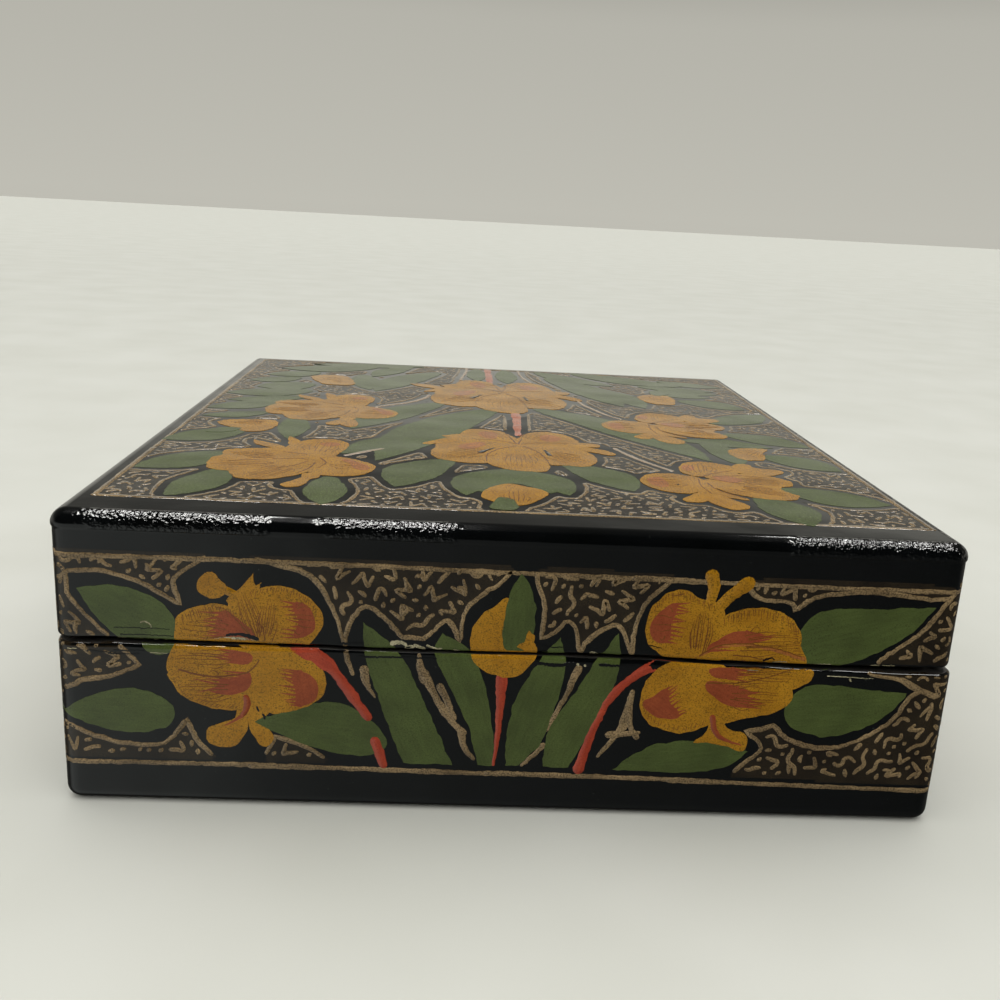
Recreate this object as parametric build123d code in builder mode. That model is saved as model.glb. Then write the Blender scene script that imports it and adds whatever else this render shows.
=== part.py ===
"""Kashmiri papier mache box: a pasteboard tray with an inner lip, and a lid that lifts off it.

Each shell is glued up from flat pasteboard: one panel across the end of a frame of four walls.
X runs left to right, Y front to back, Z up. The origin is the middle of the tray's underside.
"""

import os

from build123d import *

# Overall sizes, in millimetres
box_width = 152.0
box_depth = 178.0
box_height = 52.0
base_height = 29.8

# Pasteboard, with its paper, ground and lacquer
floor_panel_thickness = 3.2
top_panel_thickness = 3.2
base_wall_thickness = 4.0
top_panel_overhang = 0.25

# Lip: an upright liner glued inside the tray's walls, which keeps the lid in place
lip_thickness = 1.8
lip_rise = 5.0
lip_bevel = 0.8

# Fit of the lid
rim_gap = 0.3
lid_play = 0.5
lid_rest_offset = -0.3

# Softened edges
corner_radius = 3.0
top_edge_radius = 2.7
underside_edge_radius = 2.3
base_rim_radius = 0.8
lid_rim_radius = 0.6

# Tray
wall_foot_z = floor_panel_thickness
tray_width = box_width - 2 * base_wall_thickness
tray_depth = box_depth - 2 * base_wall_thickness
lip_top_z = base_height + lip_rise

# Lid: its walls are as thick as the overhang and the play on the lip leave them
lid_rim_z = base_height + rim_gap
lid_wall_top_z = box_height - top_panel_thickness
lid_frame_width = box_width - 2 * top_panel_overhang
lid_frame_depth = box_depth - 2 * top_panel_overhang
lid_wall_thickness = base_wall_thickness - top_panel_overhang - lid_play
lid_corner_radius = corner_radius - top_panel_overhang

FRONT_AND_BACK = {"front": -1, "back": 1}
LEFT_AND_RIGHT = {"left": -1, "right": 1}


def outward_x(side):
    """Axis that orders shapes from the middle of the box out to its left or right side."""
    return Axis((0, 0, 0), (side, 0, 0))


def outward_y(side):
    """Axis that orders shapes from the middle of the box out to its front or back."""
    return Axis((0, 0, 0), (0, side, 0))


def save(piece, name):
    """Label a finished piece and write it as its own STEP file."""
    piece.part.label = name
    export_step(piece.part, f"parts/{name}.step")


os.makedirs("parts", exist_ok=True)

# Floor panel, under the whole frame of walls
with BuildPart() as base_floor_panel:
    with BuildSketch(Plane.XY):
        RectangleRounded(box_width, box_depth, corner_radius)
    extrude(amount=floor_panel_thickness)
    fillet(base_floor_panel.faces().sort_by(Axis.Z)[0].edges(), radius=underside_edge_radius)
save(base_floor_panel, "base_floor_panel")

# Front and back walls of the tray, across its full width
for end, side in FRONT_AND_BACK.items():
    with BuildPart() as base_end_wall:
        with BuildSketch(Plane.XY.offset(wall_foot_z)):
            RectangleRounded(box_width, box_depth, corner_radius)
            with Locations((0, side * (box_depth - base_wall_thickness) / 2)):
                Rectangle(box_width, base_wall_thickness, mode=Mode.INTERSECT)
        extrude(amount=base_height - wall_foot_z)
        rim = base_end_wall.faces().sort_by(Axis.Z)[-1]
        fillet(rim.edges().sort_by(outward_y(side))[1:], radius=base_rim_radius)
    save(base_end_wall, f"base_{end}_wall")

# Side walls of the tray, butted between the front and back walls
for hand, side in LEFT_AND_RIGHT.items():
    with BuildPart() as base_side_wall:
        with BuildSketch(Plane.XY.offset(wall_foot_z)):
            with Locations((side * (box_width - base_wall_thickness) / 2, 0)):
                Rectangle(base_wall_thickness, tray_depth)
        extrude(amount=base_height - wall_foot_z)
        rim = base_side_wall.faces().sort_by(Axis.Z)[-1]
        fillet(rim.edges().sort_by(outward_x(side))[-1], radius=base_rim_radius)
    save(base_side_wall, f"base_{hand}_wall")

# Front and back strips of the lip, standing on the floor panel
for end, side in FRONT_AND_BACK.items():
    with BuildPart() as lip_end_strip:
        with BuildSketch(Plane.XY.offset(wall_foot_z)):
            with Locations((0, side * (tray_depth - lip_thickness) / 2)):
                Rectangle(tray_width, lip_thickness)
        extrude(amount=lip_top_z - wall_foot_z)
        crest = lip_end_strip.faces().sort_by(Axis.Z)[-1]
        chamfer(crest.edges().sort_by(outward_y(side))[1:], length=lip_bevel)
    save(lip_end_strip, f"lip_{end}_strip")

# Side strips of the lip, butted between the other two
for hand, side in LEFT_AND_RIGHT.items():
    with BuildPart() as lip_side_strip:
        with BuildSketch(Plane.XY.offset(wall_foot_z)):
            with Locations((side * (tray_width - lip_thickness) / 2, 0)):
                Rectangle(lip_thickness, tray_depth - 2 * lip_thickness)
        extrude(amount=lip_top_z - wall_foot_z)
        crest = lip_side_strip.faces().sort_by(Axis.Z)[-1]
        chamfer(crest.edges().sort_by(outward_x(side))[-1], length=lip_bevel)
    save(lip_side_strip, f"lip_{hand}_strip")

# Top panel, over the whole frame of lid walls
with BuildPart() as lid_top_panel:
    with BuildSketch(Plane((lid_rest_offset, 0, lid_wall_top_z))):
        RectangleRounded(box_width, box_depth, corner_radius)
    extrude(amount=top_panel_thickness)
    fillet(lid_top_panel.faces().sort_by(Axis.Z)[-1].edges(), radius=top_edge_radius)
save(lid_top_panel, "lid_top_panel")

# Front and back walls of the lid
for end, side in FRONT_AND_BACK.items():
    with BuildPart() as lid_end_wall:
        with BuildSketch(Plane((lid_rest_offset, 0, lid_rim_z))):
            RectangleRounded(lid_frame_width, lid_frame_depth, lid_corner_radius)
            with Locations((0, side * (lid_frame_depth - lid_wall_thickness) / 2)):
                Rectangle(lid_frame_width, lid_wall_thickness, mode=Mode.INTERSECT)
        extrude(amount=lid_wall_top_z - lid_rim_z)
        rim = lid_end_wall.faces().sort_by(Axis.Z)[0]
        fillet(rim.edges().sort_by(outward_y(side))[1:], radius=lid_rim_radius)
    save(lid_end_wall, f"lid_{end}_wall")

# Side walls of the lid
for hand, side in LEFT_AND_RIGHT.items():
    with BuildPart() as lid_side_wall:
        with BuildSketch(Plane((lid_rest_offset, 0, lid_rim_z))):
            with Locations((side * (lid_frame_width - lid_wall_thickness) / 2, 0)):
                Rectangle(lid_wall_thickness, lid_frame_depth - 2 * lid_wall_thickness)
        extrude(amount=lid_wall_top_z - lid_rim_z)
        rim = lid_side_wall.faces().sort_by(Axis.Z)[0]
        fillet(rim.edges().sort_by(outward_x(side))[-1], radius=lid_rim_radius)
    save(lid_side_wall, f"lid_{hand}_wall")
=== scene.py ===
"""Looks of a Kashmiri papier mache box: lacquered shells, brush-painted irises and gold filling.

Sizes are in millimetres and meshes are made in metres. X runs left to right, Y front to back, Z up.
Each face of the box is a flat panel of painted shapes, laid on the shells as thin coats of paint.
"""

import math

import bmesh
import bpy
import numpy as np
from mathutils import Matrix, Vector
from mathutils.geometry import delaunay_2d_cdt


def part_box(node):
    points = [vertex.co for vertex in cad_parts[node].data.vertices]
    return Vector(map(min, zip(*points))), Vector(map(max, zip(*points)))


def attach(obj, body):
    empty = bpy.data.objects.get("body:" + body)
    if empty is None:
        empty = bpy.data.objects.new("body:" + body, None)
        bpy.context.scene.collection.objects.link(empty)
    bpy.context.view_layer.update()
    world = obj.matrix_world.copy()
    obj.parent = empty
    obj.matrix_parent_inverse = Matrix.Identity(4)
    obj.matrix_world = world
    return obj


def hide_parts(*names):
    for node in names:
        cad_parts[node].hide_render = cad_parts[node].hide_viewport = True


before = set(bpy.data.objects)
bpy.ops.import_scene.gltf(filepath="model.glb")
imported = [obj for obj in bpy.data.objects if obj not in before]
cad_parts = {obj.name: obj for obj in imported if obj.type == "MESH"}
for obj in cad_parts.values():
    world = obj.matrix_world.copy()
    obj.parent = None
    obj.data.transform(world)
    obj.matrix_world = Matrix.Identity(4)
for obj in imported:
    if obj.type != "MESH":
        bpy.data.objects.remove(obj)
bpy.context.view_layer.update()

MM = 0.001


# ---- Sizes, from the CAD parts ----

def node_box(node):
    """Lowest and highest corner of a CAD node, in millimetres."""
    return [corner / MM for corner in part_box(node)]


floor_low, floor_high = node_box("base_floor_panel")
wall_low, wall_high = node_box("base_front_wall")
panel_low, panel_high = node_box("lid_top_panel")
lid_low, lid_high = node_box("lid_front_wall")

half_width = (floor_high.x - floor_low.x) / 2
half_depth = (floor_high.y - floor_low.y) / 2
floor_z = floor_high.z
tray_rim_z = wall_high.z
lid_rim_z = lid_low.z
board_joint_z = panel_low.z
top_z = panel_high.z
lid_shift = (panel_low.x + panel_high.x) / 2
board_overhang = lid_low.x - panel_low.x
tray_wall = wall_high.y - wall_low.y
lid_wall = lid_high.y - lid_low.y + board_overhang
seam_z = (tray_rim_z + lid_rim_z) / 2

# Softened edges, a hair inside the CAD solids so that the paint stays within them
SKIN_INSET = 0.12
skin_foot_z = SKIN_INSET
skin_top_z = top_z - SKIN_INSET
corner_radius = 3.0
underside_radius = 2.3
top_edge_radius = 2.7
tray_rim_radius = 0.8
lid_rim_radius = 0.6
crease_depth = 0.1
crease_width = 0.35
overhang_blend = 0.15

# Unevenness of each rim: its waves' height, number round the box and phase, and its reach up the wall
RIM_WAVES = {"tray": [(0.07, 13, 1), (0.06, 37, 0), (0.03, 97, 0)],
             "lid": [(0.06, 11, 0), (0.05, 41, 2), (0.03, 103, 0)]}
RIM_WAVE_REACH = 3.0

# Paint heights over the lacquer
HEIGHTS = {"ground": 0.02, "squiggle": 0.03, "gold": 0.034, "leaf": 0.04, "vine": 0.05, "stem": 0.055,
           "pink": 0.055, "petal": 0.065, "blush": 0.079, "heart": 0.078, "hair": 0.087, "black": 0.09,
           "gesso": 0.094}
# How much higher each next shape of a panel lies, and how far a shape's sides go down into the lacquer
SHAPE_STEP = 0.0006
SKIRT_DROP = 0.012


# ---- Walls of the two shells ----

reach_x = half_width - corner_radius
reach_y = half_depth - corner_radius
arc_length = corner_radius * math.pi / 2
legs = np.array([2 * reach_x, arc_length, 2 * reach_y, arc_length] * 2)
leg_ends = np.cumsum(legs)
perimeter = leg_ends[-1]
CORNER_CENTRES = np.array([(1, -1), (1, 1), (-1, 1), (-1, -1)]) * (reach_x, reach_y)
SIDE_CENTRES = {"front": 0.0, "right": reach_x + arc_length + reach_y,
                "back": perimeter / 2, "left": -(reach_x + arc_length + reach_y)}


def outline_at(s):
    """Places and outward directions on the box's outline, s round it from the middle of the front."""
    s = np.mod(np.asarray(s, float) + reach_x, perimeter)
    leg = np.minimum(np.searchsorted(leg_ends, s, side="right"), 7)
    side, on_corner = leg // 2, leg % 2 == 1
    along = s - (leg_ends[leg] - legs[leg])
    turn = side * math.pi / 2 + np.where(on_corner, along / corner_radius, 0)
    outward = np.stack([np.sin(turn), -np.cos(turn)], -1)
    onward = np.stack([np.cos(turn), np.sin(turn)], -1)
    centre = np.where(on_corner[:, None], CORNER_CENTRES[side], CORNER_CENTRES[side - 1])
    run = np.where(on_corner, 0, along)
    return centre + onward * run[:, None] + outward * corner_radius, outward


def rounding(depth, radius):
    """How far a rounded edge falls back, at a depth from the edge's plane."""
    left = np.clip(radius - np.maximum(depth, 0), 0, None)
    return radius - np.sqrt(np.maximum(radius**2 - left**2, 0))


def hump(s, middle, half):
    """A smooth hump of height 1 round a place on the outline."""
    away = (s - middle + perimeter / 2) % perimeter - perimeter / 2
    return np.exp(-((away / half) ** 2))


def right_end(s, start):
    """1 along the front from a place on to its right corner, 0 elsewhere."""
    return 1 / (1 + np.exp(-(s - start) / 1.5)) / (1 + np.exp((s - 84) / 3))


def rim_lift(body, s):
    """Hand-made unevenness of a rim, up or down, with the wider gaps at the front's two ends."""
    turn = 2 * math.pi * np.asarray(s) / perimeter
    wave = sum(height * np.sin(number * turn + phase) for height, number, phase in RIM_WAVES[body])
    if body == "tray":
        return wave - 0.1 - 0.5 * right_end(s, 27) - 0.35 * right_end(s, 48.5) - 0.2 * hump(s, -72, 8)
    return wave + 0.02 - 0.35 * right_end(s, 29) + 0.3 * hump(s, -46.5, 3.2) + 0.15 * hump(s, -67, 6)


def wall_points(body, s, z, height=0.0):
    """Places on a shell's outer wall, at distances round it and heights up it, and a height off it."""
    s, z = np.broadcast_arrays(np.asarray(s, float), np.asarray(z, float))
    place, outward = outline_at(s)
    if body == "tray":
        rim, off_rim, shift = tray_rim_z, tray_rim_z - z, 0.0
        rim_radius = tray_rim_radius * (1 + 0.35 * np.sin(s / 11) + 0.4 * hump(s, 62, 12))
        inset = rounding(z - skin_foot_z, underside_radius)
    else:
        rim, off_rim, shift = lid_rim_z, z - lid_rim_z, lid_shift
        rim_radius = lid_rim_radius * (1 + 0.25 * np.sin(s / 13))
        inset = rounding(skin_top_z - z, top_edge_radius)
        under_board = 1 / (1 + np.exp((z - board_joint_z) / overhang_blend))
        inset = inset + board_overhang * under_board
        inset = inset + crease_depth * np.exp(-(((z - board_joint_z) / crease_width) ** 2))
    inset = SKIN_INSET + inset + rounding(off_rim, rim_radius)
    near_rim = np.clip(1 - off_rim / RIM_WAVE_REACH, 0, 1)
    z = z + rim_lift(body, s) * near_rim**2
    flat = place + outward * (height - inset)[:, None]
    return np.column_stack([flat[:, 0] + shift, flat[:, 1], z])


def top_points(body, x, y, height=0.0):
    """Places on the lid's top."""
    x, y = np.asarray(x, float), np.asarray(y, float)
    return np.column_stack([x, y, np.full_like(x, skin_top_z) + height])


def quarter(radius, count=7):
    """Depths from an edge at which a rounding of that radius is cut into even steps."""
    return [radius * (1 - math.cos(math.pi / 2 * k / count)) for k in range(count + 1)]


# Steps of the rim's rounding that the lacquer has worn off, and how near the rim the inside follows its waves
RIM_STEPS_BARE = 3
RIM_FOLLOWS = 1.5
# Columns of points on a shell: how many round a corner, and how far apart along a side
CORNER_COLUMNS = 14
COLUMN_STEP = 1.6
# Points nearer than this are one, and edges turned by more degrees than these are sharp
WELD = 0.002
SHELL_SHARP, PAINT_SHARP = 50, 60


def outline_columns():
    """Distances round the outline for a shell's columns of points: fine at the corners."""
    stops = []
    start = -reach_x
    for k, leg in enumerate(legs):
        count = CORNER_COLUMNS if k % 2 else int(leg / COLUMN_STEP)
        stops.extend(start + leg * i / count for i in range(count))
        start += leg
    return np.array(stops)


def add_piece(name, mesh, body):
    """A piece of the box that rides one of its two bodies."""
    piece = bpy.data.objects.new(name, mesh)
    bpy.context.collection.objects.link(piece)
    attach(piece, body)
    return piece


def shell(name, body, outer_z, inner_z, nodes):
    """A shell's skin: its lacquered outside from top or bottom to the rim, and its bare rim and inside."""
    s = outline_columns()
    rings = [wall_points(body, s, z) for z in outer_z]
    shift = 0.0 if body == "tray" else lid_shift
    place, _ = outline_at(s)
    for z, depth in inner_z:
        ring = np.column_stack([np.clip(place[:, 0], -(half_width - depth), half_width - depth) + shift,
                                np.clip(place[:, 1], -(half_depth - depth), half_depth - depth),
                                np.full_like(s, z)])
        if abs(z - outer_z[-1]) < RIM_FOLLOWS:
            ring[:, 2] += rim_lift(body, s)
        rings.append(ring)
    count = len(s)
    points = np.concatenate(rings) * MM
    faces = [(r + i, r + (i + 1) % count, r + count + (i + 1) % count, r + count + i)
             for r in range(0, (len(rings) - 1) * count, count) for i in range(count)]
    faces.append(tuple(range(count)))
    faces.append(tuple((len(rings) - 1) * count + i for i in range(count)))
    mesh = bpy.data.meshes.new(name)
    mesh.from_pydata(points.tolist(), [], faces)
    first_bare = (len(outer_z) - RIM_STEPS_BARE) * count
    bare = [first_bare <= k and k != len(faces) - 2 for k in range(len(faces))]
    mesh.polygons.foreach_set("material_index", bare)
    work = bmesh.new()
    work.from_mesh(mesh)
    bmesh.ops.remove_doubles(work, verts=work.verts, dist=WELD * MM)
    bmesh.ops.recalc_face_normals(work, faces=work.faces)
    for face in work.faces:
        face.smooth = len(face.verts) < 5
    work.to_mesh(mesh)
    work.free()
    mesh.set_sharp_from_angle(angle=math.radians(SHELL_SHARP))
    piece = add_piece(name, mesh, body)
    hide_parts(*nodes)
    return piece


TRAY_BOARDS = ["base_floor_panel", "base_front_wall", "base_back_wall", "base_left_wall", "base_right_wall"]
LID_BOARDS = ["lid_top_panel", "lid_front_wall", "lid_back_wall", "lid_left_wall", "lid_right_wall"]


def make_shells():
    """The tray's and the lid's skins, in place of their boards."""
    bottom = [skin_foot_z + d for d in quarter(underside_radius)]
    rim = [tray_rim_z - 2.4] + [tray_rim_z - d for d in reversed(quarter(1.3, 6))]
    middle = [underside_radius + 1, floor_z + 8, tray_rim_z - 6]
    inside = [(tray_rim_z, tray_wall - 0.35), (tray_rim_z - 0.25, tray_wall - 0.08),
              (floor_z - 0.05, tray_wall - 0.08)]
    tray = shell("tray_skin", "tray", bottom + middle + rim, inside, TRAY_BOARDS)
    edge = [skin_top_z - d for d in quarter(top_edge_radius)]
    joint = [board_joint_z + d for d in (0.3, 0.15, 0, -0.15, -0.3, -0.5, -0.8)]
    rim = [lid_rim_z + 3, lid_rim_z + 1.5] + [lid_rim_z + d for d in reversed(quarter(0.9, 6))]
    inside = [(lid_rim_z, lid_wall - 0.3), (lid_rim_z + 0.2, lid_wall), (board_joint_z, lid_wall)]
    lid = shell("lid_skin", "lid", edge + joint + [lid_rim_z + 9] + rim, inside, LID_BOARDS)
    return tray, lid


# ---- Brush shapes in a panel's own plane ----

def smooth_line(points, closed=False, step=0.8):
    """Even points on a smooth curve through a few. A point with a third value is a sharp corner."""
    places = np.array([p[:2] for p in points], float)
    count = len(places)
    lines = []
    for i in range(count if closed else count - 1):
        j = (i + 1) % count
        chord = places[j] - places[i]
        length = math.hypot(*chord)

        def heading(k):
            if len(points[k]) > 2 or (not closed and k in (0, count - 1)):
                return chord
            across = places[(k + 1) % count] - places[k - 1]
            return across / (math.hypot(*across) + 1e-9) * length

        t = np.linspace(0, 1, max(2, int(length / step) + 1), endpoint=False)[:, None]
        lines.append((2 * t**3 - 3 * t**2 + 1) * places[i] + (t**3 - 2 * t**2 + t) * heading(i)
                     + (3 * t**2 - 2 * t**3) * places[j] + (t**3 - t**2) * heading(j))
    if not closed:
        lines.append(places[-1:])
    return np.concatenate(lines)


def sides_of(line):
    """Unit directions across a line, one per point."""
    along = np.gradient(line, axis=0)
    along /= np.hypot(*along.T)[:, None] + 1e-9
    return np.column_stack([-along[:, 1], along[:, 0]])


def outline_distance(outline, points):
    """Distance from points to a closed outline, negative inside it."""
    start, end = outline, np.roll(outline, -1, axis=0)
    edge = end - start
    from_start = points[:, None] - start
    t = np.clip((from_start * edge).sum(-1) / ((edge**2).sum(-1) + 1e-12), 0, 1)
    distance = np.sqrt(((from_start - t[..., None] * edge) ** 2).sum(-1)).min(1)
    x, y = points[:, :1], points[:, 1:]
    level = (start[:, 1] > y) != (end[:, 1] > y)
    crossing = start[:, 0] + (y - start[:, 1]) / np.where(edge[:, 1] == 0, 1e-9, edge[:, 1]) * edge[:, 0]
    inside = (level & (x < crossing)).sum(1) % 2 == 1
    return np.where(inside, -distance, distance)


# Half widths along a petal and a leaf, as shares of the width, from base to tip
PETAL = [(0, 0.2), (0.3, 0.36), (0.62, 0.5), (0.88, 0.36), (1.0, 0.0)]
LEAF = [(0, 0.12), (0.28, 0.42), (0.55, 0.5), (0.82, 0.3), (1.0, 0.0)]
# How far hairs spread at the start, middle and end of their run, as shares of the petal's width
HAIR_SPREAD = (0.36, 0.47, 0.4)
# A group of shapes goes where it was read: two shifts and two scales, below zero mirrored
AS_READ = (0.0, 0.0, 1.0, 1.0)


class Panel:
    """The painted shapes of one face, in the order in which the brush laid them."""

    def __init__(self, name, seed, ends, low, high, margin=2.3):
        self.name = name
        self.random = np.random.default_rng(seed)
        self.ends = ends
        self.low = smooth_line(low, step=4)
        self.high = smooth_line(high, step=4)
        self.margin = margin
        self.shapes = []
        self.motifs = []
        self.spandrels = None
        self.place = AS_READ

    def put(self, points):
        """Points moved to where the present group of shapes goes."""
        dx, dy, across, up = self.place
        return [(p[0] * across + dx, p[1] * up + dy, *p[2:]) for p in points]

    def patch(self, layer, points, **how):
        """A filled shape in the present group."""
        return self.fill(layer, self.put(points), **how)

    def fill(self, layer, points, lift=0.0, motif=True, wobble=0.09, brush=None):
        """A filled shape with a slightly unsteady edge, brushed along its length unless told otherwise."""
        line = smooth_line(points, closed=True)
        ragged = self.random.normal(0, wobble, len(line))
        ragged = (ragged + np.roll(ragged, 1)) / 1.5
        line = line + sides_of(np.vstack([line, line[:1]]))[:-1] * ragged[:, None]
        if brush is None:
            centred = line - line.mean(0)
            brush = np.linalg.svd(centred, full_matrices=False)[2][0]
        self.shapes.append(("patch", layer, line, brush, lift))
        if motif:
            self.motifs.append(line)
        return line

    def stroke(self, layer, points, width, end_width=None, **how):
        """A brush line in the present group, of one width unless an end width is given."""
        self.draw(layer, self.put(points), width, width if end_width is None else end_width, **how)

    def draw(self, layer, points, width, end_width, lift=0.0, motif=False, wobble=0.05, step=0.7):
        """A brush line of a width that changes, with rounded ends."""
        line = smooth_line(points, step=step)
        if len(line) > 2:
            line[1:-1] += self.random.normal(0, wobble, (len(line) - 2, 2))
        widths = np.linspace(width, end_width, len(line)) * self.pressure(len(line))
        self.line(layer, line, widths, lift)
        if motif:
            across = sides_of(line) * (widths / 2)[:, None]
            self.motifs.append(np.vstack([line + across, (line - across)[::-1]]))

    def pressure(self, count, slow=0.12, quick=0.03):
        """How a brush line swells and thins along its run, round 1."""
        swell = self.random.normal(0, 1, count + 6)
        swell = np.convolve(swell, np.ones(7) / 7 ** 0.5, "valid")
        return 1 + slow * np.clip(swell, -1.6, 1.6) + self.random.normal(0, quick, count)

    def patches(self, layer, outlines, **how):
        """Filled shapes of one paint."""
        for points in outlines:
            self.patch(layer, points, **how)

    def strokes(self, layer, rows, **how):
        """Brush lines of one paint, each with its points and widths."""
        for row in rows:
            self.stroke(layer, *row, **how)

    def each(self, lay, rows):
        """The same brush work with each row's settings."""
        for row in rows:
            lay(*row)

    def line(self, layer, line, widths, lift=0.0):
        """A ready line of points, as a brush line."""
        self.shapes.append(("line", layer, line, widths, lift))

    def along(self, layer, base, tip, width, profile, bend=0.0, lift=0.0):
        """A petal or leaf from base to tip, bent sideways in the middle."""
        base, tip = np.array(self.put([base, tip]))[:, :2]
        bend *= self.place[2]
        run = tip - base
        across = np.array([-run[1], run[0]]) / math.hypot(*run)
        left, right = ([base + run * t + across * (side * share * width + bend * 4 * t * (1 - t))
                        for t, share in profile] for side in (1, -1))
        sharp = profile is not PETAL
        points = left[:-1] + [(*tip, 0) if sharp else tip] + right[-2::-1]
        self.fill(layer, points, lift, brush=run / math.hypot(*run))

    def heart(self, points, fringe, length=2.0):
        """A petal's red heart, with a comb of hairs on the side that faces the fringe direction."""
        line = self.patch("heart", points, motif=False, wobble=0.05)
        fringe = np.array(fringe, float) * self.place[2:]
        fringe /= math.hypot(*fringe)
        across = sides_of(np.vstack([line, line[:1]]))[:-1]
        if outline_distance(line, line[:1] + across[:1] * 0.2)[0] < 0:
            across = -across
        for root, outward in zip(line, across):
            if outward @ fringe < 0.25:
                continue
            reach = length * self.random.uniform(0.45, 1.1)
            lean = fringe + self.random.normal(0, 0.12, 2)
            self.draw("heart", [root - lean * 0.5, root + lean * reach], 0.62, 0.07, wobble=0.02)

    def fringe(self, edge, inward, count):
        """Short brush hairs from a petal's edge inward."""
        line = smooth_line(self.put(edge))[:, :2]
        inward = np.array(inward) * self.place[2:]
        for k in range(count):
            at = (k + self.random.uniform(0.2, 0.8)) / count * (len(line) - 1)
            root = line[int(at)] + (line[int(at) + 1] - line[int(at)]) * (at % 1)
            start = root + inward * self.random.uniform(0.05, 0.3)
            end = start + inward * self.random.uniform(0.4, 1.0) + self.random.uniform(-0.12, 0.12, 2)
            self.draw("hair", [start, end], 0.15, 0.05, wobble=0.02)

    def hairs(self, base, tip, width, count=7, start=0.35, end=0.93):
        """Fine brush hairs that follow a petal's length."""
        base, tip = np.array(self.put([base, tip]))[:, :2]
        run = tip - base
        across = np.array([-run[1], run[0]]) / math.hypot(*run)
        for k in range(count):
            side = (k + 0.5) / count * 2 - 1 + self.random.uniform(-0.08, 0.08)
            t0 = start + self.random.uniform(-0.08, 0.1)
            t1 = end - 0.35 * side**2 + self.random.uniform(-0.12, 0.03)
            points = [base + run * t + across * side * w * width * 0.5 * 1.7
                      for t, w in zip(np.linspace(t0, max(t1, t0 + 0.1), 3), HAIR_SPREAD)]
            self.draw("hair", points, 0.2, 0.06, wobble=0.03)


# ---- The front's flowers and leaves, x from the middle and z up from the table ----

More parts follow.
